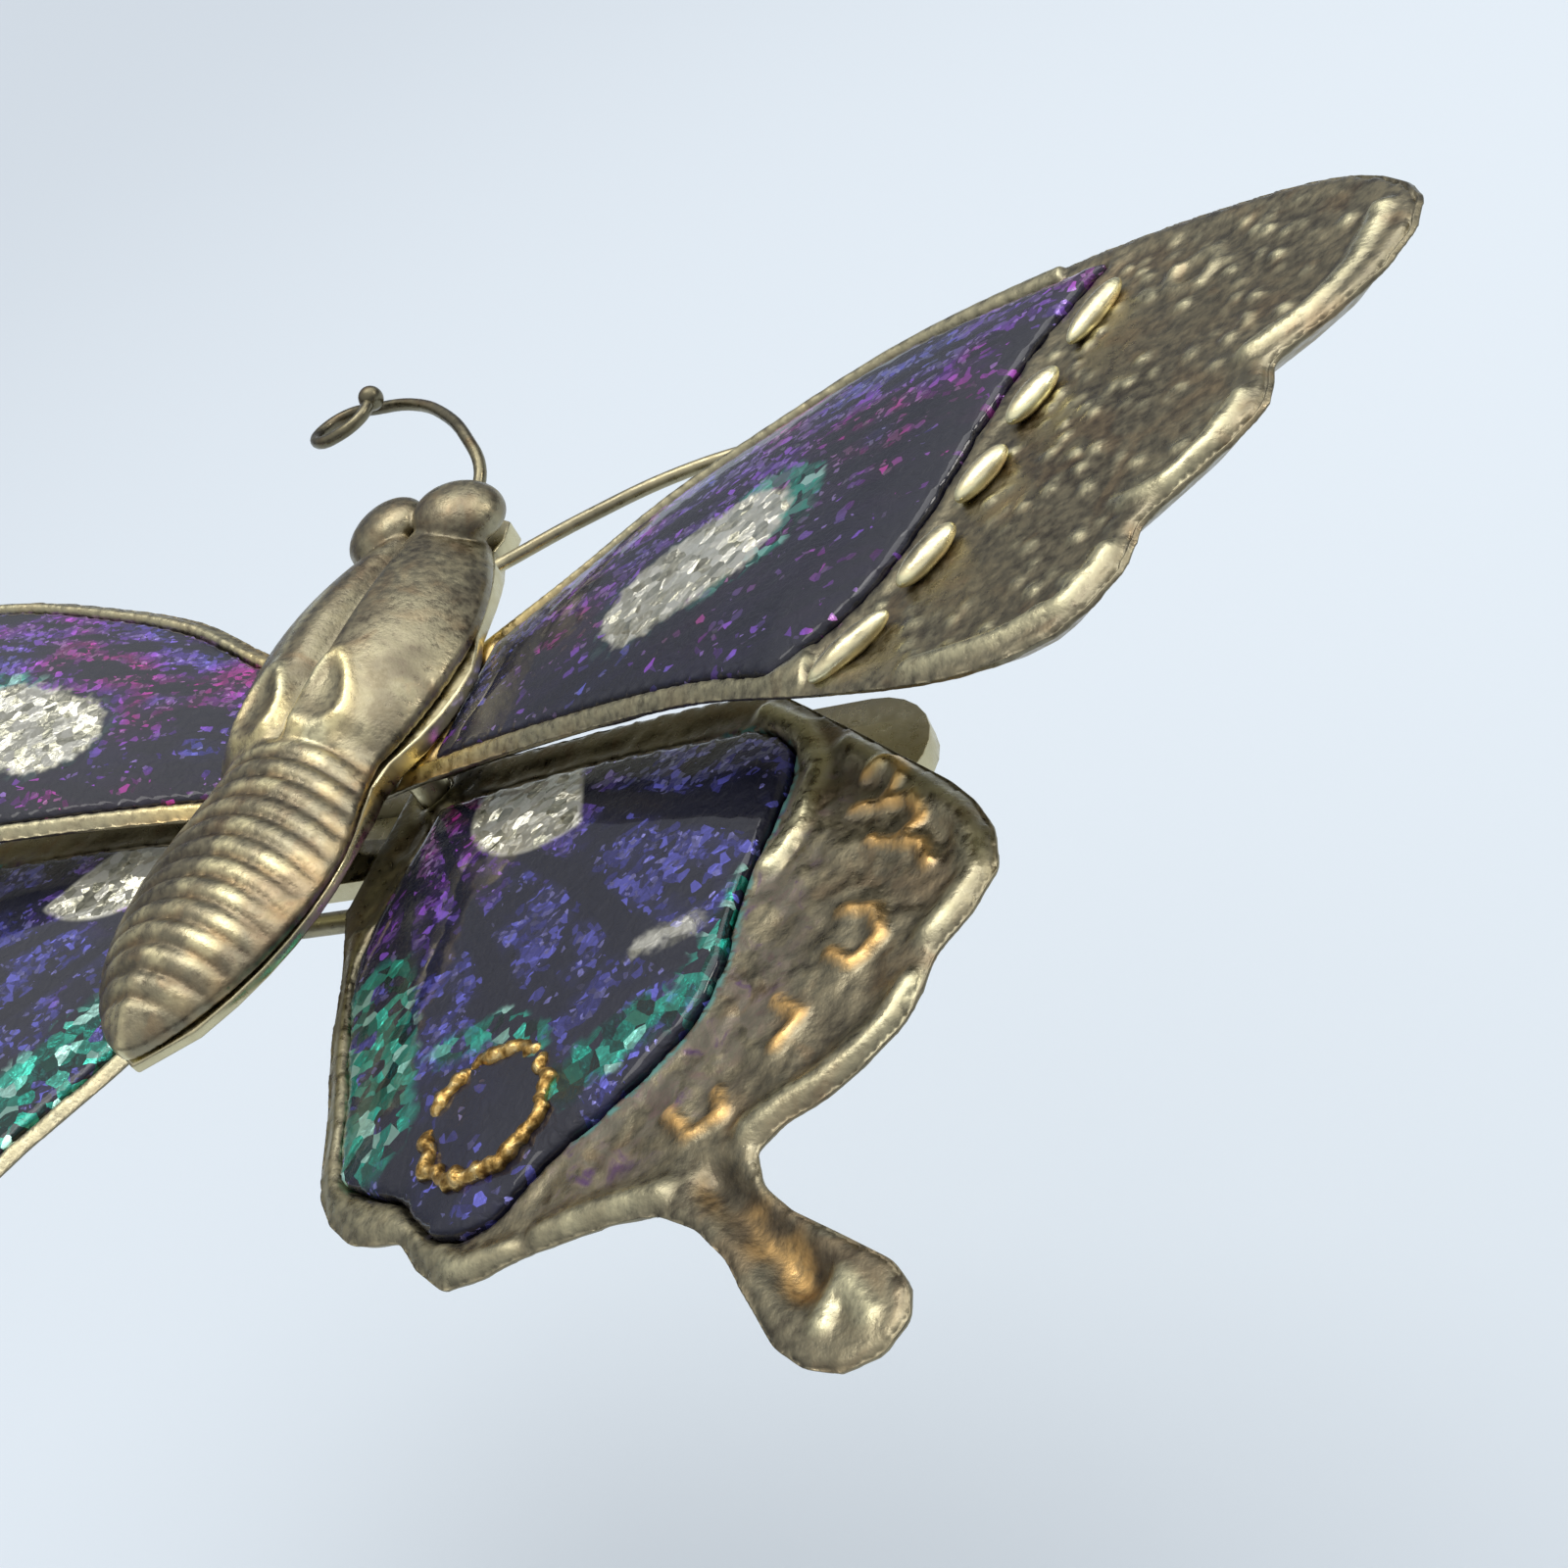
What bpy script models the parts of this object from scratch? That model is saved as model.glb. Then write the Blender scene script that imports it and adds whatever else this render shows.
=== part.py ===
"""Butterfly hair pin: enamelled sheet wings and a cast body on a hinged pin back.

Frame: +X is the right wing, +Y the head, +Z the decorated face. The origin is the centre of the
back bar's flat underside. Shapes are written in millimetres and turned to metres by MM.
"""
import bpy
import bmesh
from math import cos, sin, tan, pi, radians, hypot
from mathutils import Vector

MM = 0.001

# ---- clearances ----
SEAT_GAP = 0.1            # between pieces that are soldered face to face
INLAY_GAP = 0.08          # round an enamel fill in its cell
RIVET_GAP = 0.06          # round a rivet in its holes
RUN_GAP = 0.08            # round a piece that turns

# ---- back bar ----
BAR_LENGTH = 38.0
BAR_WIDTH = 4.4
BAR_THICK = 0.8

# ---- wings ----
HIND_TILT = radians(8.2)
FORE_TILT = radians(13.8)
HIND_THICK = 0.8
FORE_THICK = 1.0
CELL_DEPTH = 0.42         # depth of the enamel bed below the rim
ENAMEL_RISE = 0.12        # how far the enamel stands over the rim
WING_SCALE = 1.0          # plan size of all four wings

# ---- body ----
BODY_LENGTH = 24.0
THORAX_HALF_WIDTH = 4.6
ABDOMEN_HALF_WIDTH = 3.9
WAIST_HALF_WIDTH = 3.2
BODY_HEIGHT = 2.4
TAIL_TAPER = 0.75         # 0.5 is a round tail, larger is more pointed
NECK_SHARE = 0.38         # neck's place along Y, as a share of the length ahead of the middle
FLANGE_STEP = 0.45        # how far the base plate shows round the cast body
BASE_FLAT = 0.35          # thickness of the base plate's edge
KEEL_REAR = -2.0          # station behind which the base plate's underside rises
KEEL_SLOPE = 2.5          # length over which it rises to the thin edge
EYE_RADIUS = 1.75
EYE_SPREAD = 1.5          # from the middle to each eye's centre
RIDGE_COUNT = 11
RIDGE_HEIGHT = 0.28

# ---- antennae ----
ANTENNA_RADIUS = 0.24
ANTENNA_LOOP_RADIUS = 1.35
ANTENNA_KNOB_RADIUS = 0.48

# ---- hindwing ring ----
RING_CENTRE = (11.7, -13.5)
RING_RADIUS = 1.75
RING_WIRE = 0.5
RING_HEIGHT = 0.25

# ---- rivets ----
RIVET_RADIUS = 0.6
RIVET_X = 2.6
RIVET_HEAD_RADIUS = 1.1
RIVET_HEAD_THICK = 0.4
POST_RADIUS = 1.1
POST_X = 12.5

# ---- pin, hinge and catch ----
PIN_DROP = 3.1            # from the bar's underside down to the pin's axis
PIN_RADIUS = 0.42
HINGE_X = -16.4
CATCH_X = 15.6
PIN_POINT_LENGTH = 3.0
PIN_OVERHANG = 2.2        # how far the point reaches past the middle of the catch
EYE_OUTER = 1.15
EYE_WIDTH = 1.5
HINGE_PIN_RADIUS = 0.4
EAR_THICK = 0.6
EAR_RADIUS = 1.45         # from the hinge's axis to an ear's edges and flat foot
EAR_CHAMFER = 0.5
BRACKET_LENGTH = 3.6
BRACKET_THICK = 0.6
CATCH_LENGTH = 3.2
CATCH_OUTER = 1.85
COLLAR_LENGTH = 1.2
COLLAR_OUTER = 1.35
SLOT_WIDTH = 1.2
LEVER_REACH = 2.7
LEVER_WIDTH = 0.7
LEVER_START = radians(-45)
LEVER_TURN = radians(90)

# ---- levels worked out from the sizes above ----
HIND_BASE = BAR_THICK + SEAT_GAP
FORE_BASE = HIND_BASE + HIND_THICK / cos(HIND_TILT) + SEAT_GAP
BODY_EDGE = THORAX_HALF_WIDTH + FLANGE_STEP
BASE_SEAT = FORE_BASE + (FORE_THICK + ENAMEL_RISE) / cos(FORE_TILT) + SEAT_GAP
BASE_TOP = BASE_SEAT + BODY_EDGE * tan(FORE_TILT) + BASE_FLAT
BODY_FLOOR = BASE_TOP + SEAT_GAP
BORE = PIN_RADIUS + 0.3

# Wing outlines for the right side, seen from above; (x, y, corner) with corner 1 where it is sharp.
FOREWING = [
    (1.3, 4.4, 1), (6.5, 6.4, 0), (10.4, 8.3, 0), (14.6, 9.2, 0), (19.6, 9.6, 0), (25.6, 8.3, 0),
    (29.6, 6.6, 0), (32.2, 4.9, 0), (33.5, 2.4, 0), (32.6, 0.2, 0), (30.4, -1.2, 1), (30.3, -2.7, 0),
    (28.9, -4.0, 0), (27.8, -4.8, 1), (27.5, -6.1, 0), (26.2, -7.3, 0), (24.0, -7.3, 0),
    (20.0, -5.8, 0), (16.0, -4.0, 0), (12.0, -2.9, 0), (6.4, -1.8, 0), (1.3, -1.2, 1),
]
FOREWING_CELL = [
    (4.4, 4.6, 1), (6.9, 5.8, 0), (10.6, 7.6, 0), (14.7, 8.5, 0), (19.6, 8.9, 0), (26.2, 7.3, 1),
    (24.9, 5.6, 0), (23.8, 3.6, 0), (23.0, 1.5, 0), (22.3, -0.6, 0), (20.9, -3.0, 0), (18.6, -4.5, 1),
    (15.9, -3.3, 0), (12.0, -2.2, 0), (6.6, -1.1, 0), (4.4, -0.8, 1),
]
HINDWING = [
    (1.3, 1.0, 1), (8.0, 0.4, 0), (15.5, -0.6, 0), (18.2, -2.6, 0), (20.6, -4.7, 0), (23.0, -7.0, 0),
    (23.9, -9.2, 0), (22.8, -11.2, 1), (22.4, -12.8, 0), (21.0, -14.3, 0), (19.6, -15.3, 0),
    (20.8, -16.7, 0), (23.2, -17.9, 0), (23.8, -19.0, 0), (22.7, -19.9, 0), (21.2, -19.4, 0),
    (19.6, -17.6, 0), (17.6, -16.5, 0), (14.2, -17.1, 1), (12.3, -17.7, 0), (10.3, -16.4, 1),
    (8.6, -16.3, 0), (6.8, -15.0, 0), (5.7, -12.9, 0), (4.1, -10.1, 0), (2.8, -7.3, 0), (1.3, -4.6, 1),
]
HINDWING_CELL = [
    (3.6, -1.0, 1), (9.6, -1.3, 0), (16.0, -2.2, 1), (17.4, -3.4, 0), (17.5, -5.6, 0),
    (17.2, -8.0, 0), (17.2, -11.2, 0), (15.6, -13.5, 0), (14.1, -14.8, 0), (13.0, -16.3, 0),
    (11.4, -16.5, 0), (9.8, -15.4, 0), (7.4, -14.7, 0), (6.3, -12.6, 0), (4.7, -9.8, 0), (3.4, -7.0, 0),
]

COLOURS = {
    "aged_brass": ((0.42, 0.36, 0.20, 1), 0.38, 1.0),
    "indigo_enamel": ((0.05, 0.055, 0.12, 1), 0.12, 0.0),
    "pin_wire": ((0.50, 0.46, 0.34, 1), 0.30, 1.0),
}


def clear_scene():
    """Start from an empty scene."""
    for item in list(bpy.data.objects):
        bpy.data.objects.remove(item, do_unlink=True)


def material(slot):
    """The slot's plain Principled material."""
    found = bpy.data.materials.get(slot)
    if found:
        return found
    colour, rough, metal = COLOURS[slot]
    made = bpy.data.materials.new(slot)
    made.use_nodes = True
    shader = made.node_tree.nodes["Principled BSDF"]
    shader.inputs["Base Color"].default_value = colour
    shader.inputs["Roughness"].default_value = rough
    shader.inputs["Metallic"].default_value = metal
    return made


def make_object(name, bm, slot):
    """Turn a bmesh in millimetres into a named object in metres."""
    bmesh.ops.recalc_face_normals(bm, faces=bm.faces)
    bmesh.ops.scale(bm, vec=(MM, MM, MM), verts=bm.verts)
    mesh = bpy.data.meshes.new(name)
    bm.to_mesh(mesh)
    bm.free()
    mesh.shade_smooth()
    mesh.set_sharp_from_angle(angle=radians(40))
    mesh.materials.append(material(slot))
    made = bpy.data.objects.new(name, mesh)
    bpy.context.collection.objects.link(made)
    return made


def as_cutter(item):
    """Hide a cutter from the model."""
    item.hide_render = True
    item.display_type = 'WIRE'
    return item


def add_boolean(target, other, operation):
    """Cut or join one object with another."""
    step = target.modifiers.new(operation.title(), 'BOOLEAN')
    step.operation = operation
    step.solver = 'EXACT'
    step.object = other


def smooth_outline(points, spacing):
    """A closed outline through the points, round except at its corners."""
    count = len(points)
    out = []
    for i in range(count):
        before, here, there, after = (points[(i + k) % count] for k in (-1, 0, 1, 2))
        start = Vector(here[:2])
        end = Vector(there[:2])
        chord = end - start
        left = chord if here[2] else (end - Vector(before[:2])) / 2
        right = chord if there[2] else (Vector(after[:2]) - start) / 2
        left = left.normalized() * chord.length
        right = right.normalized() * chord.length
        steps = max(2, round(chord.length / spacing))
        for k in range(steps):
            t = k / steps
            spot = ((2 * t**3 - 3 * t**2 + 1) * start + (t**3 - 2 * t**2 + t) * left
                    + (3 * t**2 - 2 * t**3) * end + (t**3 - t**2) * right)
            out.append((spot.x, spot.y))
    return out


def inset_outline(outline, distance):
    """Move a closed outline inward by a small distance."""
    area = sum(a[0] * b[1] - b[0] * a[1] for a, b in zip(outline, outline[1:] + outline[:1]))
    turn = 1 if area > 0 else -1
    out = []
    for i, spot in enumerate(outline):
        before = outline[i - 1]
        after = outline[(i + 1) % len(outline)]
        dx, dy = after[0] - before[0], after[1] - before[1]
        size = hypot(dx, dy)
        out.append((spot[0] - turn * dy / size * distance, spot[1] + turn * dx / size * distance))
    return out


def prism(outline, low, high):
    """A flat plate with the outline as its shape."""
    bm = bmesh.new()
    ring = [bm.verts.new((x, y, low)) for x, y in outline]
    face = bm.faces.new(ring)
    grown = bmesh.ops.extrude_face_region(bm, geom=[face])
    top = [v for v in grown["geom"] if isinstance(v, bmesh.types.BMVert)]
    bmesh.ops.translate(bm, vec=(0, 0, high - low), verts=top)
    return bm


def add_cylinder(bm, radius, start, end, sides, radius_end=None):
    """Add a closed cylinder or cone between two points."""
    start, end = Vector(start), Vector(end)
    direction = end - start
    turn = Vector((0, 0, 1)).rotation_difference(direction).to_matrix().to_4x4()
    turn.translation = (start + end) / 2
    tip = radius if radius_end is None else radius_end
    bmesh.ops.create_cone(bm, cap_ends=True, segments=sides, radius1=radius, radius2=tip,
                          depth=direction.length, matrix=turn)


def cylinder(radius, start, end, sides=24, radius_end=None):
    """A bmesh holding one cylinder or cone."""
    bm = bmesh.new()
    add_cylinder(bm, radius, start, end, sides, radius_end)
    return bm


def box(low, high):
    """A bmesh holding one box between two corners."""
    bm = bmesh.new()
    bmesh.ops.create_cube(bm, size=1)
    middle = [(a + b) / 2 for a, b in zip(low, high)]
    bmesh.ops.scale(bm, vec=[b - a for a, b in zip(low, high)], verts=bm.verts)
    bmesh.ops.translate(bm, vec=middle, verts=bm.verts)
    return bm


def wing_outline(points, side, tilt):
    """Wing points as an outline in the wing's own plane, which the tilt lays back to the plan."""
    stretched = [(x * WING_SCALE / cos(tilt), y * WING_SCALE, corner) for x, y, corner in points]
    outline = smooth_outline(stretched, 1.1)
    return [(side * x, y) for x, y in outline]


def lay_on_wing(item, side, base, tilt):
    """Set a piece made flat on its tilted wing plane."""
    item.location.z = base * MM
    item.rotation_euler.y = -side * tilt


def wing_set(name, outline, cell, side, base, thick, tilt, rivet_hole):
    """A wing plate with a sunk cell, and the enamel that fills the cell."""
    label = "right" if side > 0 else "left"
    plate = make_object(f"{name}_{label}", prism(wing_outline(outline, side, tilt), 0, thick),
                        "aged_brass")
    lay_on_wing(plate, side, base, tilt)
    cell_shape = wing_outline(cell, side, tilt)
    floor = thick - CELL_DEPTH
    bed = as_cutter(make_object(f"{name}_cell_{label}", prism(cell_shape, floor, thick + 1),
                                "aged_brass"))
    lay_on_wing(bed, side, base, tilt)
    add_boolean(plate, bed, 'DIFFERENCE')
    add_boolean(plate, rivet_hole, 'DIFFERENCE')
    fill_shape = inset_outline(cell_shape, INLAY_GAP)
    fill = make_object(f"{name}_enamel_{label}",
                       prism(fill_shape, floor + INLAY_GAP, thick + ENAMEL_RISE), "indigo_enamel")
    lay_on_wing(fill, side, base, tilt)
    return plate, fill


def wing_ring(side):
    """The raised wire ring on a hindwing's enamel."""
    label = "right" if side > 0 else "left"
    bm = bmesh.new()
    centre_x = side * RING_CENTRE[0] * WING_SCALE / cos(HIND_TILT)
    centre_y = RING_CENTRE[1] * WING_SCALE
    low = HIND_THICK + ENAMEL_RISE + INLAY_GAP
    inner, outer = RING_RADIUS - RING_WIRE / 2, RING_RADIUS + RING_WIRE / 2
    profile = [(inner, low), (outer, low), (outer, low + RING_HEIGHT), (inner, low + RING_HEIGHT)]
    corners = [bm.verts.new((centre_x + r, centre_y, z)) for r, z in profile]
    edges = [bm.edges.new((corners[i], corners[(i + 1) % 4])) for i in range(4)]
    bmesh.ops.spin(bm, geom=corners + edges, cent=(centre_x, centre_y, 0), axis=(0, 0, 1),
                   angle=2 * pi, steps=24, use_merge=True, use_duplicate=False)
    bmesh.ops.remove_doubles(bm, verts=bm.verts, dist=0.001)
    ring = make_object(f"hindwing_ring_{label}", bm, "aged_brass")
    lay_on_wing(ring, side, HIND_BASE, HIND_TILT)
    return ring


def body_half_width(y):
    """Half-width of the cast body at a station along Y, round at the tail and the neck."""
    tail = -BODY_LENGTH / 2
    waist = -1.6
    neck = BODY_LENGTH * NECK_SHARE
    if y < waist:
        t = (y - tail) / (waist - tail)
        belly = ABDOMEN_HALF_WIDTH * max(0.0, 1 - (1 - min(t / 0.62, 1)) ** 2) ** TAIL_TAPER
        blend = max(0.0, (t - 0.62) / 0.38)
        ease = blend * blend * (3 - 2 * blend)
        return belly + (WAIST_HALF_WIDTH - ABDOMEN_HALF_WIDTH) * ease
    t = (y - waist) / (neck - waist)
    swell = sin(pi * min(max(t, 0), 1)) ** 0.8
    floor = WAIST_HALF_WIDTH + (2.6 - WAIST_HALF_WIDTH) * t
    return floor + (THORAX_HALF_WIDTH - WAIST_HALF_WIDTH) * swell


def body_ridge(y):
    """Ring-like swelling of the abdomen at a station along Y."""
    start, end = -BODY_LENGTH / 2 + 1.0, -2.0
    if y < start or y > end:
        return 0.0
    phase = (y - start) / (end - start) * RIDGE_COUNT
    return RIDGE_HEIGHT * (1 - cos(2 * pi * phase)) / 2


def body_shell():
    """The cast body: a ringed abdomen, a swelling thorax and two round eyes."""
    stations = []
    tail = -BODY_LENGTH / 2
    neck = BODY_LENGTH * NECK_SHARE
    ridge_pitch = (BODY_LENGTH / 2 - 3.0) / RIDGE_COUNT
    stations += [tail + 0.05, tail + 0.3, tail + 0.65]
    stations += [tail + 1.0 + ridge_pitch * k / 2 for k in range(2 * RIDGE_COUNT + 1)]
    rest = 10
    stations += [-2.0 + (neck + 2.0) * k / rest for k in range(1, rest + 1)]
    around = 10
    bm = bmesh.new()
    rings = []
    for y in stations:
        half = body_half_width(y)
        tall = BODY_HEIGHT * (half / THORAX_HALF_WIDTH) ** 0.7 + body_ridge(y)
        ring = [bm.verts.new((half * cos(pi * k / around), y, BODY_FLOOR + tall * sin(pi * k / around)))
                for k in range(around + 1)]
        rings.append(ring)
    for first, second in zip(rings, rings[1:]):
        for k in range(around):
            bm.faces.new((first[k], first[k + 1], second[k + 1], second[k]))
        bm.faces.new((first[around], first[0], second[0], second[around]))
    bm.faces.new(rings[0])
    bm.faces.new(rings[-1])
    shell = make_object("body_shell", bm, "aged_brass")
    for side in (-1, 1):
        bm = bmesh.new()
        bmesh.ops.create_uvsphere(bm, u_segments=16, v_segments=8, radius=EYE_RADIUS)
        bmesh.ops.translate(bm, vec=(side * EYE_SPREAD, BODY_LENGTH / 2 - EYE_RADIUS - 0.4,
                                     BODY_FLOOR + EYE_RADIUS + 0.02), verts=bm.verts)
        lobe = as_cutter(make_object(f"eye_shape_{'right' if side > 0 else 'left'}", bm, "aged_brass"))
        add_boolean(shell, lobe, 'UNION')
    return shell


def body_base():
    """The plate under the body: flat on top, with a V underside that sits on both forewings."""
    tail = -BODY_LENGTH / 2
    neck = BODY_LENGTH * NECK_SHARE
    head = BODY_LENGTH / 2 - 0.3
    rows = [tail + (neck - tail) * k / 22 for k in range(1, 23)]
    right = [(body_half_width(y) + FLANGE_STEP, y) for y in rows]
    cheek = EYE_SPREAD + EYE_RADIUS
    right += [(cheek, neck + 0.6), (cheek * 0.92, head - 0.8), (EYE_SPREAD, head)]
    right = [(0.0, tail - FLANGE_STEP)] + right + [(0.0, head - 0.5)]

    def underside(x, y):
        seat = BASE_SEAT + abs(x) * tan(FORE_TILT)
        lift = (KEEL_REAR - y) / KEEL_SLOPE * (BASE_TOP - BASE_FLAT - BASE_SEAT)
        return max(seat, min(BASE_TOP - BASE_FLAT, BASE_SEAT + lift))

    bm = bmesh.new()
    keel_top = [bm.verts.new((0, y, BASE_TOP)) for x, y in right]
    keel_low = [bm.verts.new((0, y, underside(0, y))) for x, y in right]
    last = len(right) - 1
    for side in (1, -1):
        top, low = keel_top[:], keel_low[:]
        for k in range(1, last):
            x, y = right[k]
            top[k] = bm.verts.new((side * x, y, BASE_TOP))
            low[k] = bm.verts.new((side * x, y, underside(x, y)))
        for k in range(last):
            for face in ((top[k], top[k + 1], keel_top[k + 1], keel_top[k]),
                         (low[k], low[k + 1], keel_low[k + 1], keel_low[k]),
                         (low[k], low[k + 1], top[k + 1], top[k])):
                bm.faces.new(list(dict.fromkeys(face)))
    return make_object("body_base", bm, "aged_brass")


def wire_path(points, samples):
    """Points along a smooth open curve through the given points."""
    spots = [Vector(p) for p in points]
    ends = [spots[0] * 2 - spots[1]] + spots + [spots[-1] * 2 - spots[-2]]
    out = []
    for i in range(1, len(ends) - 2):
        a, b, c, d = ends[i - 1:i + 3]
        for k in range(samples):
            t = k / samples
            out.append(0.5 * (2 * b + (c - a) * t + (2 * a - 5 * b + 4 * c - d) * t * t
                              + (3 * b - a - 3 * c + d) * t ** 3))
    out.append(spots[-1])
    return out


def antenna(name, points, samples):
    """A bent wire feeler with a round knob at its end."""
    path = wire_path(points, samples)
    data = bpy.data.curves.new(name, 'CURVE')
    data.dimensions = '3D'
    data.bevel_depth = ANTENNA_RADIUS * MM
    data.bevel_resolution = 2
    data.use_fill_caps = True
    line = data.splines.new('POLY')
    line.points.add(len(path) - 1)
    for target, spot in zip(line.points, path):
        target.co = (spot.x * MM, spot.y * MM, spot.z * MM, 1)
    data.materials.append(material("pin_wire"))
    wire = bpy.data.objects.new(name + "_wire", data)
    bpy.context.collection.objects.link(wire)
    bpy.context.view_layer.update()
    mesh = bpy.data.meshes.new_from_object(wire.evaluated_get(bpy.context.evaluated_depsgraph_get()))
    bpy.data.objects.remove(wire, do_unlink=True)
    feeler = bpy.data.objects.new(name, mesh)
    bpy.context.collection.objects.link(feeler)
    bm = bmesh.new()
    bmesh.ops.create_uvsphere(bm, u_segments=12, v_segments=8, radius=ANTENNA_KNOB_RADIUS)
    bmesh.ops.translate(bm, vec=path[-1], verts=bm.verts)
    knob = as_cutter(make_object(name + "_knob_shape", bm, "pin_wire"))
    add_boolean(feeler, knob, 'UNION')
    return feeler


def curl(centre):
    """Points round a rising loop at the end of an antenna."""
    x, y, z = centre
    turns = [radians(65) + radians(320) * k / 6 for k in range(7)]
    return [(x + ANTENNA_LOOP_RADIUS * cos(a), y + ANTENNA_LOOP_RADIUS * sin(a), z + 0.12 * k)
            for k, a in enumerate(turns)]


def bar():
    """The flat bar with round ends that carries everything on the back."""
    half = BAR_LENGTH / 2 - BAR_WIDTH / 2
    arc = [(half + BAR_WIDTH / 2 * cos(a), BAR_WIDTH / 2 * sin(a))
           for a in [-pi / 2 + pi * k / 12 for k in range(13)]]
    outline = arc + [(-x, -y) for x, y in arc]
    return make_object("back_bar", prism(outline, 0, BAR_THICK), "aged_brass")


def wing_rivet(side):
    """A rivet through the bar and both wing roots, with its head under the bar."""
    label = "right" if side > 0 else "left"
    x = side * RIVET_X
    top = FORE_BASE + FORE_THICK + (RIVET_X - RIVET_RADIUS) * tan(FORE_TILT)
    bm = bmesh.new()
    profile = [(0, -SEAT_GAP - RIVET_HEAD_THICK), (RIVET_HEAD_RADIUS * 0.7, -SEAT_GAP - RIVET_HEAD_THICK),
               (RIVET_HEAD_RADIUS, -SEAT_GAP - RIVET_HEAD_THICK / 2), (RIVET_HEAD_RADIUS, -SEAT_GAP),
               (RIVET_RADIUS, -SEAT_GAP), (RIVET_RADIUS, top), (0, top)]
    verts = [bm.verts.new((x + r, 0, z)) for r, z in profile]
    edges = [bm.edges.new(pair) for pair in zip(verts, verts[1:])]
    bmesh.ops.spin(bm, geom=verts + edges, cent=(x, 0, 0), axis=(0, 0, 1), angle=2 * pi, steps=20,
                   use_merge=True)
    bmesh.ops.remove_doubles(bm, verts=bm.verts, dist=0.001)
    return make_object(f"wing_rivet_{label}", bm, "aged_brass")


def wing_post(side):
    """A short post between the bar and a hindwing, cut to the wing's slope."""
    label = "right" if side > 0 else "left"
    x = side * POST_X
    bm = cylinder(POST_RADIUS, (x, 0, BAR_THICK + SEAT_GAP), (x, 0, BAR_THICK + 1), 20)
    for vert in bm.verts:
        if vert.co.z > BAR_THICK + 0.5:
            vert.co.z = HIND_BASE - SEAT_GAP / cos(HIND_TILT) + abs(vert.co.x) * tan(HIND_TILT)
    return make_object(f"wing_post_{label}", bm, "aged_brass")


def hinge_bracket():
    """The bracket under the bar: a small plate with two ears that hold the hinge rivet."""
    inner = EYE_WIDTH / 2 + RUN_GAP
    outer = inner + EAR_THICK
    top = -SEAT_GAP
    low = (HINGE_X - BRACKET_LENGTH / 2, -outer, top - BRACKET_THICK)
    high = (HINGE_X + BRACKET_LENGTH / 2, outer, top)
    bracket = make_object("hinge_bracket", box(low, high), "aged_brass")
    for side in (-1, 1):
        ys = sorted((side * inner, side * outer))
        foot = -PIN_DROP - EAR_RADIUS
        left, right = HINGE_X - EAR_RADIUS, HINGE_X + EAR_RADIUS
        shape = [(left, top - 0.1), (left, foot + EAR_CHAMFER), (left + EAR_CHAMFER, foot),
                 (right - EAR_CHAMFER, foot), (right, foot + EAR_CHAMFER), (right, top - 0.1)]
        bm = bmesh.new()
        face = bm.faces.new([bm.verts.new((x, ys[0], z)) for x, z in shape])
        grown = bmesh.ops.extrude_face_region(bm, geom=[face])
        moved = [v for v in grown["geom"] if isinstance(v, bmesh.types.BMVert)]
        bmesh.ops.translate(bm, vec=(0, ys[1] - ys[0], 0), verts=moved)
        ear = as_cutter(make_object(f"ear_shape_{side}", bm, "aged_brass"))
        add_boolean(bracket, ear, 'UNION')
    hole = HINGE_PIN_RADIUS + RIVET_GAP
    drill = as_cutter(make_object("ear_drill", cylinder(
        hole, (HINGE_X, -4, -PIN_DROP), (HINGE_X, 4, -PIN_DROP)), "aged_brass"))
    add_boolean(bracket, drill, 'DIFFERENCE')
    return bracket


def hinge_rivet():
    """The rivet through the ears, with a button head on each side."""
    reach = EYE_WIDTH / 2 + RUN_GAP + EAR_THICK + RIVET_GAP
    head = 0.35
    profile = [(0, -reach - head), (0.5, -reach - head), (0.75, -reach - head / 2), (0.75, -reach),
               (HINGE_PIN_RADIUS, -reach), (HINGE_PIN_RADIUS, reach), (0.75, reach),
               (0.75, reach + head / 2), (0.5, reach + head), (0, reach + head)]
    bm = bmesh.new()
    verts = [bm.verts.new((HINGE_X + r, y, -PIN_DROP)) for r, y in profile]
    edges = [bm.edges.new(pair) for pair in zip(verts, verts[1:])]
    bmesh.ops.spin(bm, geom=verts + edges, cent=(HINGE_X, 0, -PIN_DROP), axis=(0, 1, 0),
                   angle=2 * pi, steps=20, use_merge=True)
    bmesh.ops.remove_doubles(bm, verts=bm.verts, dist=0.001)
    return make_object("hinge_rivet", bm, "aged_brass")


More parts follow.
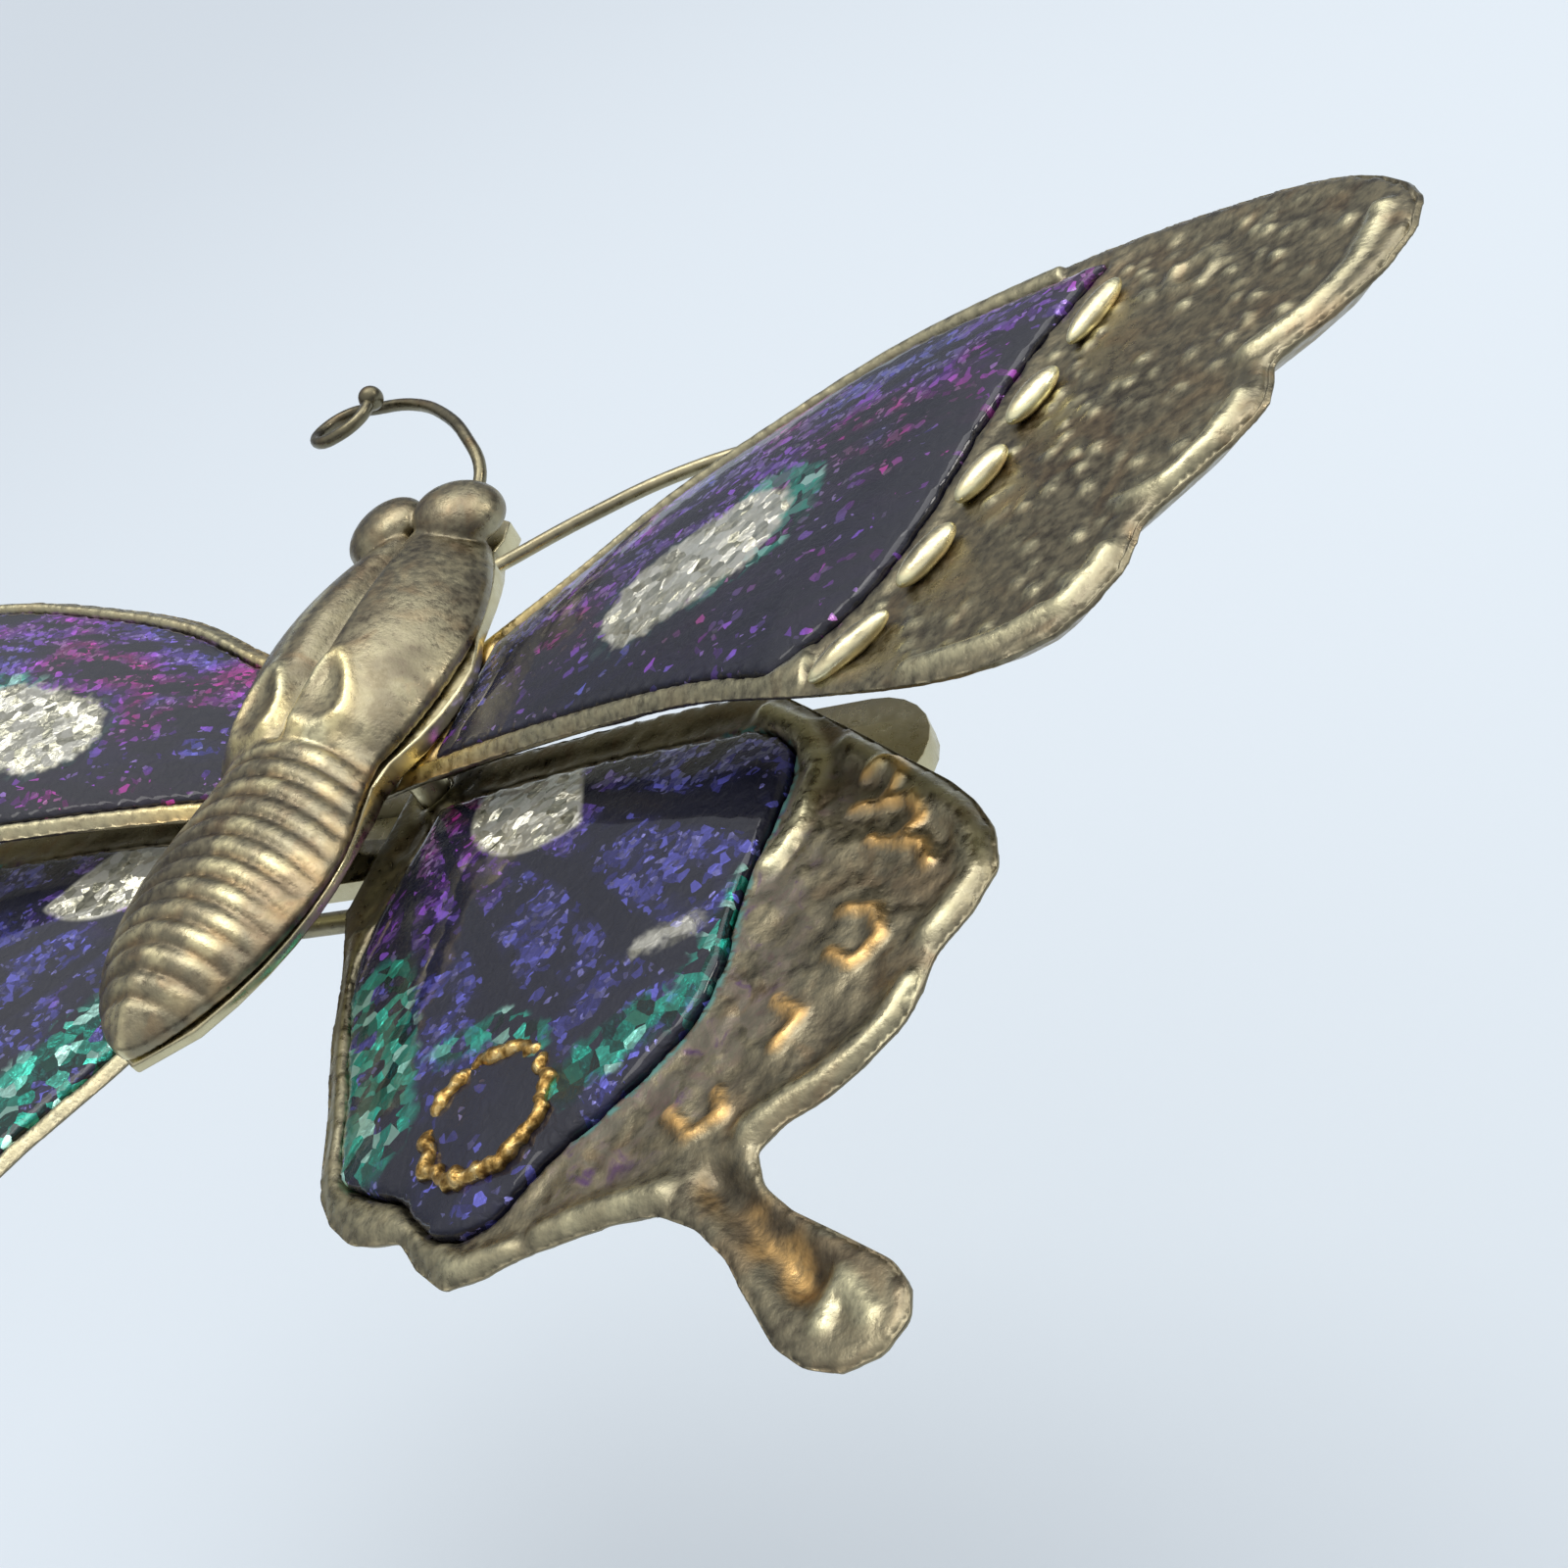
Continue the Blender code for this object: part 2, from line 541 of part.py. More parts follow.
def pin_stem():
    """The pin: an eye that turns on the hinge rivet, a long wire and a sharp point."""
    hinge = Vector((HINGE_X, 0, -PIN_DROP))
    tip = CATCH_X + PIN_OVERHANG - HINGE_X
    stem = make_object("pin_stem", cylinder(EYE_OUTER, (0, -EYE_WIDTH / 2, 0), (0, EYE_WIDTH / 2, 0)),
                       "pin_wire")
    bm = bmesh.new()
    profile = [(EYE_OUTER * 0.7, 0), (EYE_OUTER * 0.7, PIN_RADIUS),
               (tip - PIN_POINT_LENGTH, PIN_RADIUS), (tip, PIN_RADIUS * 0.15), (tip, 0)]
    verts = [bm.verts.new((x, 0, r)) for x, r in profile]
    edges = [bm.edges.new(pair) for pair in zip(verts, verts[1:])]
    bmesh.ops.spin(bm, geom=verts + edges, cent=(0, 0, 0), axis=(1, 0, 0), angle=2 * pi, steps=16,
                   use_merge=True)
    bmesh.ops.remove_doubles(bm, verts=bm.verts, dist=0.001)
    wire = as_cutter(make_object("pin_wire_shape", bm, "pin_wire"))
    bore = as_cutter(make_object("eye_bore", cylinder(
        HINGE_PIN_RADIUS + RUN_GAP, (0, -2, 0), (0, 2, 0)), "pin_wire"))
    for item in (stem, wire, bore):
        item.location = hinge * MM
    add_boolean(stem, wire, 'UNION')
    add_boolean(stem, bore, 'DIFFERENCE')
    return stem


def catch_base():
    """The catch housing: a tube round the pin with a slot below and a groove for the collar."""
    top = -SEAT_GAP
    half = CATCH_LENGTH / 2
    centre = -PIN_DROP
    housing = make_object("catch_base", cylinder(
        CATCH_OUTER, (CATCH_X - half, 0, centre), (CATCH_X + half, 0, centre), 32), "aged_brass")
    block = box((CATCH_X - half, -1.5, centre + CATCH_OUTER * 0.6), (CATCH_X + half, 1.5, top))
    add_boolean(housing, as_cutter(make_object("catch_block_shape", block, "aged_brass")), 'UNION')
    far = half + 1
    bore = cylinder(BORE, (CATCH_X - far, 0, centre), (CATCH_X + far, 0, centre), 24)
    slot = box((CATCH_X - far, -SLOT_WIDTH / 2, centre - 3), (CATCH_X + far, SLOT_WIDTH / 2, centre))
    room = COLLAR_LENGTH / 2 + RUN_GAP
    groove = cylinder(COLLAR_OUTER + RUN_GAP, (CATCH_X - room, 0, centre), (CATCH_X + room, 0, centre), 32)
    swing = LEVER_REACH * sin(LEVER_START + LEVER_TURN) + LEVER_WIDTH / 2 + RUN_GAP
    window = box((CATCH_X - room, SLOT_WIDTH / 2 - 0.2, centre - 3), (CATCH_X + room, 3, centre + swing))
    for name, bm in (("catch_bore", bore), ("catch_slot", slot), ("catch_groove", groove),
                     ("catch_window", window)):
        add_boolean(housing, as_cutter(make_object(name, bm, "aged_brass")), 'DIFFERENCE')
    return housing


def catch_collar():
    """The collar that turns round the pin and closes the slot, with its thumb lever."""
    half = COLLAR_LENGTH / 2
    collar = make_object("catch_collar", cylinder(
        COLLAR_OUTER, (-half, 0, 0), (half, 0, 0), 32), "pin_wire")
    aim = Vector((0, cos(LEVER_START), sin(LEVER_START)))
    wide = LEVER_WIDTH / 2
    lever = box((-half, BORE + 0.2, -wide), (half, LEVER_REACH, wide))
    bmesh.ops.rotate(lever, cent=(0, 0, 0), verts=lever.verts,
                     matrix=Vector((0, 1, 0)).rotation_difference(aim).to_matrix())
    bore = cylinder(BORE, (-2, 0, 0), (2, 0, 0), 24)
    slot = box((-2, -SLOT_WIDTH / 2, -3), (2, SLOT_WIDTH / 2, 0))
    parts = (("lever_shape", lever, 'UNION'), ("collar_bore", bore, 'DIFFERENCE'),
             ("collar_slot", slot, 'DIFFERENCE'))
    collar.location = Vector((CATCH_X, 0, -PIN_DROP)) * MM
    for name, bm, operation in parts:
        shape = as_cutter(make_object(name, bm, "pin_wire"))
        shape.location = collar.location
        add_boolean(collar, shape, operation)
    return collar


clear_scene()
drills = {}
for side in (-1, 1):
    drills[side] = as_cutter(make_object(f"rivet_drill_{side}", cylinder(
        RIVET_RADIUS + RIVET_GAP, (side * RIVET_X, 0, -2), (side * RIVET_X, 0, 12), 20), "aged_brass"))

back_bar = bar()
for side in (-1, 1):
    add_boolean(back_bar, drills[side], 'DIFFERENCE')
    wing_set("hindwing", HINDWING, HINDWING_CELL, side, HIND_BASE, HIND_THICK, HIND_TILT, drills[side])
    wing_set("forewing", FOREWING, FOREWING_CELL, side, FORE_BASE, FORE_THICK, FORE_TILT, drills[side])
    wing_ring(side)
    wing_rivet(side)
    wing_post(side)

body_shell()
body_base()

head_y = BODY_LENGTH / 2
feeler_z = BODY_FLOOR + 0.5
antenna("antenna_left", [(1.0, head_y - 0.1, feeler_z), (1.0, head_y + 1.1, feeler_z + 0.5),
                         (0.2, head_y + 2.5, feeler_z + 1.1), (-1.2, head_y + 4.0, feeler_z + 1.6),
                         (-3.2, head_y + 5.2, feeler_z + 1.9)]
        + curl((-5.6, head_y + 4.2, feeler_z + 2.1)), 3)
neck_y = BODY_LENGTH * NECK_SHARE - 1.2
antenna("antenna_right", [(4.0, neck_y - 0.7, BODY_FLOOR + 0.4), (7.0, neck_y + 0.8, BODY_FLOOR + 0.45),
                          (10.2, neck_y + 2.1, BODY_FLOOR + 0.4), (13.2, neck_y + 2.8, BODY_FLOOR + 0.15),
                          (16.0, neck_y + 3.0, BODY_FLOOR - 0.15)], 4)

hinge_bracket()
hinge_rivet()
pin_stem()
catch_base()
catch_collar()
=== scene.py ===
# %% [markdown]
# # An enamelled butterfly hair pin
# The pin is a stamped brass butterfly: two pairs of wings with sunk cells of dark glitter enamel, a
# ringed cast body, two wire antennae, and a flat bar with a hinged pin on its back. The frame holds
# every solid at its real place and size, so each step below only has to give a piece its surface.

# %% Load the frame
import math

import bpy
import bmesh
from mathutils import Matrix, Vector
from mathutils import noise as soft
from mathutils.kdtree import KDTree


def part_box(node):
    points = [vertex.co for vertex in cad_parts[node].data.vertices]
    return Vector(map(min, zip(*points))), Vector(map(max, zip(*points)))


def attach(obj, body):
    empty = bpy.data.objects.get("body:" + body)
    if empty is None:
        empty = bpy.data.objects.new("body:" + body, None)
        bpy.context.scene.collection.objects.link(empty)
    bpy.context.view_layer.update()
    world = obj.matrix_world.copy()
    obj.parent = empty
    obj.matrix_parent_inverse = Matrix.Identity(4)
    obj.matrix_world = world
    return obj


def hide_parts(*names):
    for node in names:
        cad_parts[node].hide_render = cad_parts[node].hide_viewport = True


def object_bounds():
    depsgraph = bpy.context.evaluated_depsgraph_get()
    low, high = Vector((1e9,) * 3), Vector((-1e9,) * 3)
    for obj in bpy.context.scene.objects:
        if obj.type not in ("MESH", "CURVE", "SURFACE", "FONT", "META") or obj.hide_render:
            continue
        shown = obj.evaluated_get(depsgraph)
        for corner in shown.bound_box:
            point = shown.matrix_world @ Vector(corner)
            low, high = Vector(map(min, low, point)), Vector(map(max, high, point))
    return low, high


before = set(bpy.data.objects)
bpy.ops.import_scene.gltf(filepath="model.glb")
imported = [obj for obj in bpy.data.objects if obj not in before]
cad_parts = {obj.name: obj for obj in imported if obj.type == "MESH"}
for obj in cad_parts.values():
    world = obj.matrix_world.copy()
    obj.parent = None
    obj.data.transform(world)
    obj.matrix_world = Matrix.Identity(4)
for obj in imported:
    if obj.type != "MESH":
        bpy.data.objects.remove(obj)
cad_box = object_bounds()

# %% [markdown]
# ## Small helpers
# The piece is only 67 mm wide, so every length is written in millimetres and turned to metres with
# MM. Operators act on all that is selected, so a helper first picks exactly one object.

# %% Helpers for picking and finishing
MM = 0.001
SIDES = {"right": 1, "left": -1}


def pick(*items):
    """Select only these objects, and make the first one active."""
    if bpy.context.mode != 'OBJECT':
        bpy.ops.object.mode_set(mode='OBJECT')
    bpy.ops.object.select_all(action='DESELECT')
    for item in items:
        item.select_set(True)
    bpy.context.view_layer.objects.active = items[0]


def rest_at_origin(item):
    """Put the object's place, turn and size into its mesh."""
    pick(item)
    bpy.ops.object.transform_apply(location=True, rotation=True, scale=True)


def apply_all(item):
    """Apply every modifier in order."""
    pick(item)
    for step in list(item.modifiers):
        bpy.ops.object.modifier_apply(modifier=step.name)


def finish_piece(item, body, slot, finish, *nodes):
    """Give a piece its finish, its body and the frame nodes it stands for. The slot is not used."""
    item.data.materials.clear()
    item.data.materials.append(finish)
    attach(item, body)
    if nodes:
        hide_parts(*nodes)


def copy_node(node, name):
    """A merged copy of a frame node, to work on."""
    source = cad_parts[node]
    item = bpy.data.objects.new(name, source.data.copy())
    bpy.context.collection.objects.link(item)
    pick(item)
    bpy.ops.object.mode_set(mode='EDIT')
    bpy.ops.mesh.select_all(action='SELECT')
    bpy.ops.mesh.remove_doubles(threshold=0.000002)
    bpy.ops.mesh.normals_make_consistent(inside=False)
    bpy.ops.object.mode_set(mode='OBJECT')
    return item


def count_faces(item):
    """How many faces a piece has."""
    return len(item.data.polygons)


# %% [markdown]
# ## Camera
# The piece is seen from close by, a little behind its right side, and the camera leans over, so the
# right forewing rises to the corner. A camera can be aimed by a constraint, but its lean is then hard
# to set, so its three axes are worked out here from an azimuth, a rise and a lean.

# %% Camera
CAMERA_PLACE = Vector((34.66, -30.28, 26.98)) * MM
CAMERA_AZIMUTH = math.radians(34.12)
CAMERA_RISE = math.radians(36.38)
CAMERA_LEAN = math.radians(-31.12)

back = Vector((math.sin(CAMERA_AZIMUTH) * math.cos(CAMERA_RISE),
               -math.cos(CAMERA_AZIMUTH) * math.cos(CAMERA_RISE), math.sin(CAMERA_RISE)))
level_right = (-back).cross(Vector((0, 0, 1))).normalized()
level_up = level_right.cross(-back)
right = level_right * math.cos(CAMERA_LEAN) + level_up * math.sin(CAMERA_LEAN)
up = level_up * math.cos(CAMERA_LEAN) - level_right * math.sin(CAMERA_LEAN)
place = Matrix((right, up, back)).transposed().to_4x4()
place.translation = CAMERA_PLACE

lens = bpy.data.cameras.new("camera")
lens.lens = 36
lens.sensor_width = 36
lens.clip_start = 0.001
lens.clip_end = 100
camera = bpy.data.objects.new("camera", lens)
camera.matrix_world = place
bpy.context.collection.objects.link(camera)
bpy.context.scene.camera = camera
print("camera at", [round(v, 4) for v in CAMERA_PLACE])

# %% [markdown]
# ## Floor
# The floor is one plain pale plane. It could touch the piece, but the pin on the back opens
# downwards and would go through it, so the floor lies 40 mm below.

# %% Floor
FLOOR_DROP = 0.040
FLOOR_SIZE = 40.0
bpy.ops.object.select_all(action='DESELECT')
bpy.ops.mesh.primitive_plane_add(size=FLOOR_SIZE, location=(0, 0, cad_box[0][2] - FLOOR_DROP))
floor = bpy.context.active_object
floor.name = "floor"
rest_at_origin(floor)
floor_finish = bpy.data.materials.new("pale_floor")
floor_finish.use_nodes = True
floor_shader = floor_finish.node_tree.nodes["Principled BSDF"]
floor_shader.inputs["Base Color"].default_value = (0.72, 0.79, 0.86, 1)
floor_shader.inputs["Roughness"].default_value = 0.9
floor.data.materials.append(floor_finish)

# %% [markdown]
# ## Lights
# Metal only looks like metal when it has something to reflect, and small hard lamps would leave it
# black with white spots. So there are two weak square lamps, a sun as soft as a cloudy day, and a sky
# that is bright overhead and darker at the horizon, which keeps the glaze dark. The camera itself
# sees one plain pale colour in place of the sky.

# %% Lights
DAYLIGHT_SPREAD = math.radians(50)
DAYLIGHT_AIM = Vector((-0.15, -0.35, -0.92))
SKY_BANDS = (
    (0.0, (0.24, 0.25, 0.28)), (0.30, (0.28, 0.29, 0.32)),
    (0.60, (0.75, 0.77, 0.80)), (0.85, (1.0, 1.0, 1.0)),
)
SKY_SEEN = (0.90, 0.98, 1.05, 1)
SKY_STRENGTH = 0.80


def soft_lamp(name, place_mm, aim_mm, size_mm, watts, colour):
    """A square soft lamp that points at a spot."""
    data = bpy.data.lights.new(name, 'AREA')
    data.energy = watts
    data.size = size_mm * MM
    data.color = colour
    lamp = bpy.data.objects.new(name, data)
    lamp.location = Vector(place_mm) * MM
    aim = (Vector(aim_mm) - Vector(place_mm)).normalized()
    lamp.rotation_euler = aim.to_track_quat('-Z', 'Y').to_euler()
    bpy.context.collection.objects.link(lamp)


soft_lamp("ceiling", (-60, 60, 330), (0, 0, 0), 150, 0.16, (1.0, 0.98, 0.93))
soft_lamp("side", (300, 160, 220), (0, 0, 0), 90, 0.20, (1.0, 0.96, 0.88))

sun_data = bpy.data.lights.new("daylight", 'SUN')
sun_data.energy = 1.0
sun_data.angle = DAYLIGHT_SPREAD
sun = bpy.data.objects.new("daylight", sun_data)
sun.rotation_euler = DAYLIGHT_AIM.to_track_quat('-Z', 'Y').to_euler()
bpy.context.collection.objects.link(sun)

world = bpy.data.worlds.new("sky")
bpy.context.scene.world = world
world.use_nodes = True
sky = world.node_tree
sky_coords = sky.nodes.new("ShaderNodeTexCoord")
sky_split = sky.nodes.new("ShaderNodeSeparateXYZ")
sky_ramp = sky.nodes.new("ShaderNodeValToRGB")
while len(sky_ramp.color_ramp.elements) < len(SKY_BANDS):
    sky_ramp.color_ramp.elements.new(0.5)
for band, (height, colour) in zip(sky_ramp.color_ramp.elements, SKY_BANDS):
    band.position = height
    band.color = (*colour, 1)
sky.links.new(sky_coords.outputs["Generated"], sky_split.inputs[0])
sky.links.new(sky_split.outputs["Z"], sky_ramp.inputs["Fac"])
sky_ray = sky.nodes.new("ShaderNodeLightPath")
sky_mix = sky.nodes.new("ShaderNodeMixRGB")
sky_mix.inputs["Color2"].default_value = SKY_SEEN
sky.links.new(sky_ray.outputs["Is Camera Ray"], sky_mix.inputs["Fac"])
sky.links.new(sky_ramp.outputs["Color"], sky_mix.inputs["Color1"])
sky.links.new(sky_mix.outputs["Color"], sky.nodes["Background"].inputs["Color"])
sky.nodes["Background"].inputs["Strength"].default_value = SKY_STRENGTH
bpy.context.scene.view_settings.view_transform = 'Standard'
print("two lamps, soft daylight and a sky")

# %% [markdown]
# ## Finishes
# Every finish is made of nodes that read Object coordinates, turned to millimetres. A small class
# keeps the node trees short to write.

# %% A short way to write nodes


class Finish:
    """A Principled material under construction."""

    def __init__(self, name):
        self.made = bpy.data.materials.new(name)
        self.made.use_nodes = True
        self.tree = self.made.node_tree
        self.shader = self.tree.nodes["Principled BSDF"]
        coords = self.tree.nodes.new("ShaderNodeTexCoord")
        scale = self.tree.nodes.new("ShaderNodeVectorMath")
        scale.operation = 'SCALE'
        scale.inputs["Scale"].default_value = 1 / MM
        self.tree.links.new(coords.outputs["Object"], scale.inputs[0])
        self.spot = scale.outputs[0]

    def put(self, socket, value):
        """Link a socket to an output, or set it to a value."""
        if isinstance(value, bpy.types.NodeSocket):
            self.tree.links.new(value, socket)
        elif value is not None:
            socket.default_value = value

    def math(self, operation, a, b=None, c=None, clamp=False):
        """A Math node on up to three values."""
        node = self.tree.nodes.new("ShaderNodeMath")
        node.operation = operation
        node.use_clamp = clamp
        for socket, value in zip(node.inputs, (a, b, c)):
            self.put(socket, value)
        return node.outputs[0]

    def vector(self, operation, a, b=None, scale=None):
        """A Vector Math node; a length or distance comes back as a number."""
        node = self.tree.nodes.new("ShaderNodeVectorMath")
        node.operation = operation
        self.put(node.inputs[0], a)
        self.put(node.inputs[1], b)
        if scale is not None:
            self.put(node.inputs["Scale"], scale)
        return node.outputs["Value"] if operation in ('LENGTH', 'DISTANCE') else node.outputs[0]

    def noise(self, size, detail=3.0, vector=None, distortion=0.0):
        """Soft noise whose features are about `size` millimetres across."""
        node = self.tree.nodes.new("ShaderNodeTexNoise")
        self.put(node.inputs["Vector"], vector or self.spot)
        node.inputs["Scale"].default_value = 1 / size
        node.inputs["Detail"].default_value = detail
        node.inputs["Distortion"].default_value = distortion
        return node.outputs["Fac"]

    def cells(self, size, vector):
        """A random colour for each cell, about `size` millimetres across."""
        node = self.tree.nodes.new("ShaderNodeTexVoronoi")
        self.put(node.inputs["Vector"], vector)
        node.inputs["Scale"].default_value = 1 / size
        return node.outputs["Color"]

    def ramp(self, value, *stops):
        """A colour ramp with (position, colour) stops."""
        node = self.tree.nodes.new("ShaderNodeValToRGB")
        self.put(node.inputs["Fac"], value)
        elements = node.color_ramp.elements
        while len(elements) < len(stops):
            elements.new(0.5)
        for element, (position, colour) in zip(elements, stops):
            element.position = position
            element.color = (*colour, 1)
        return node.outputs["Color"]

    def step(self, value, low, high, out_low=0.0, out_high=1.0):
        """A smooth step from low to high."""
        node = self.tree.nodes.new("ShaderNodeMapRange")
        node.interpolation_type = 'SMOOTHSTEP'
        self.put(node.inputs["Value"], value)
        self.put(node.inputs["From Min"], low)
        self.put(node.inputs["From Max"], high)
        self.put(node.inputs["To Min"], out_low)
        self.put(node.inputs["To Max"], out_high)
        return node.outputs["Result"]

    def mix(self, amount, first, second, blend='MIX'):
        """Mix two colours."""
        node = self.tree.nodes.new("ShaderNodeMix")
        node.data_type = 'RGBA'
        node.blend_type = blend
        self.put(node.inputs["Factor"], amount)
        for socket, value in ((node.inputs[6], first), (node.inputs[7], second)):
            self.put(socket, (*value, 1) if isinstance(value, tuple) else value)
        return node.outputs[2]

    def split(self, vector):
        """The X, Y and Z of a vector, or the red, green and blue of a colour."""
        node = self.tree.nodes.new("ShaderNodeSeparateXYZ")
        self.put(node.inputs[0], vector)
        return node.outputs

    def join(self, x, y, z):
        """A vector from three numbers."""
        node = self.tree.nodes.new("ShaderNodeCombineXYZ")
        for socket, value in zip(node.inputs, (x, y, z)):
            self.put(socket, value)
        return node.outputs[0]

    def bump(self, height, distance_mm):
        """A normal bent by a height, where a height of 1 stands for this distance."""
        node = self.tree.nodes.new("ShaderNodeBump")
        node.inputs["Strength"].default_value = 1.0
        node.inputs["Distance"].default_value = distance_mm * MM
        self.put(node.inputs["Height"], height)
        return node.outputs["Normal"]

    def geometry(self, output):
        """One output of a Geometry node."""
        return self.tree.nodes.new("ShaderNodeNewGeometry").outputs[output]

    def set(self, **sockets):
        """Set or link shader sockets, named with _ for spaces."""
        for name, value in sockets.items():
            self.put(self.shader.inputs[name.replace("_", " ")], value)
        return self.made


# %% [markdown]
# ## Aged brass
# Old brass is olive grey where it is handled least and pale yellow where edges are rubbed, with
# orange brown tarnish in random patches; its hollows are darkened as painted shade. The rubbing and
# the painted shade could be painted by hand, but pointiness already tells the edges of a small part
# from its hollows, and two noises break the colour up.

# %% Aged brass
OLIVE = (0.255, 0.228, 0.155)
RUBBED = (0.68, 0.61, 0.38)
TARNISH = (0.26, 0.15, 0.07)
SOOT_AND_SHADE = (0.085, 0.076, 0.052)


def aged_brass(name, rub_and_highlight=1.0, tarnish=0.35, grain=0.02, shade=1.0):
    """Brass with rubbed edges, random tarnish and painted shade in its hollows, scaled by its shade as
    painted light.
    """
    f = Finish(name)
    broad = f.noise(3.0, 4)
    fine = f.noise(0.35, 5)
    point = f.geometry("Pointiness")
    worn = f.step(point, 0.50, 0.50 + 0.06 / rub_and_highlight, 0.0, 0.85)
    # painted shade: the hollows that pointiness finds are darkened
    painted_shade = f.step(point, 0.49, 0.42)
    base = f.ramp(f.math('ADD', f.math('MULTIPLY', broad, 0.65), f.math('MULTIPLY', fine, 0.35)),
                  (0.32, SOOT_AND_SHADE), (0.48, OLIVE), (0.62, (0.35, 0.31, 0.195)), (0.75, (0.45, 0.40, 0.25)))
    rust = f.step(f.noise(1.6, 5, distortion=0.6), 0.52, 0.68)
    base = f.mix(f.math('MULTIPLY', rust, tarnish), base, TARNISH)
    # painted shade: the hollows are mixed towards the darkest olive
    base = f.mix(f.math('MULTIPLY', painted_shade, 0.7), base, SOOT_AND_SHADE)
    base = f.mix(worn, base, RUBBED)
    rough = f.step(fine, 0.3, 0.75, 0.22, 0.48)
    height = f.math('MULTIPLY', fine, grain)
    # painted light where shade is not 1: the whole colour is made brighter or darker
    base = f.mix(1.0, base, (shade, shade, shade), blend='MULTIPLY')
    return f.set(Base_Color=base, Metallic=1.0, Roughness=rough, Normal=f.bump(height, 1.0))


cast_brass = aged_brass("aged_brass_cast", rub_and_highlight=1.3, tarnish=0.25)
back_brass = aged_brass("aged_brass_back", rub_and_highlight=0.8, tarnish=0.15)
print("two brass finishes")

# %% [markdown]
# ## Glitter enamel
# The cells hold dark indigo glaze with metal flakes in it. Each flake is one cell of a Voronoi
# pattern: its random colour says whether it is there, how bright it is and which way it leans, so it
# sparkles, partly by the light and partly by glints painted into its colour, while a clear coat keeps
# the surface itself smooth. The pattern is read with the absolute value of X, so both wings of a
# pair match.

# %% Glitter enamel
INK = (0.006, 0.007, 0.019)
VIOLET = (0.12, 0.035, 0.32)
BLUE = (0.055, 0.055, 0.30)
MAGENTA = (0.20, 0.015, 0.15)
TEAL = (0.01, 0.30, 0.22)
MINT = (0.50, 0.92, 0.80)


def mirrored_spot(f):
    """The place on the piece, with the left wing folded over onto the right."""
    x, y, z = f.split(f.spot)
    return f.join(f.math('ABSOLUTE', x), y, 0.0), f.math('ABSOLUTE', x), y


def near_line(f, spot, start, end, inner, outer):
    """1 within `inner` millimetres of a line on the plan, 0 beyond `outer`, with a ragged edge."""
    run = Vector((end[0] - start[0], end[1] - start[1], 0))
    away = f.vector('SUBTRACT', spot, (start[0], start[1], 0))
    dot = f.tree.nodes.new("ShaderNodeVectorMath")
    dot.operation = 'DOT_PRODUCT'
    f.put(dot.inputs[0], away)
    dot.inputs[1].default_value = run / run.length_squared
    along = f.math('MULTIPLY', dot.outputs["Value"], 1.0, clamp=True)
    along_vector = f.join(f.math('MULTIPLY', along, run.x), f.math('MULTIPLY', along, run.y), 0.0)
    distance = f.vector('LENGTH', f.vector('SUBTRACT', away, along_vector))
    ragged = f.math('ADD', distance, f.math('MULTIPLY_ADD', f.noise(0.5, 3), 0.9, -0.45))
    return f.step(ragged, outer, inner)


# %% [markdown]
# Three sizes of flake lie in the glaze: common ones, fine bright sparks, and large ones that make
# the silver and mint patches. Painted dots would stay flat, so each flake also bends the normal its
# own way and catches the light on its own. The glints are also painted into the colour: some flakes
# are brightened at random, and the fine sparks are painted glints of near white.

# %% Flakes in the glaze
FLAKE_MM = 0.27
SPARK_MM = 0.16
BIG_FLAKE_MM = 0.42


def flake_layer(f, size, density):
    """Flakes of one size: where they are, two random values, and a lean."""
    drift = f.join(f.noise(0.7, 2), f.noise(0.8, 2), 0.0)
    colour = f.cells(size, f.vector('ADD', f.spot, f.vector('SCALE', drift, scale=0.35)))
    red, green, blue = f.split(colour)
    return f.math('LESS_THAN', red, density), green, blue, f.vector('SUBTRACT', colour, (0.5, 0.5, 0.5))


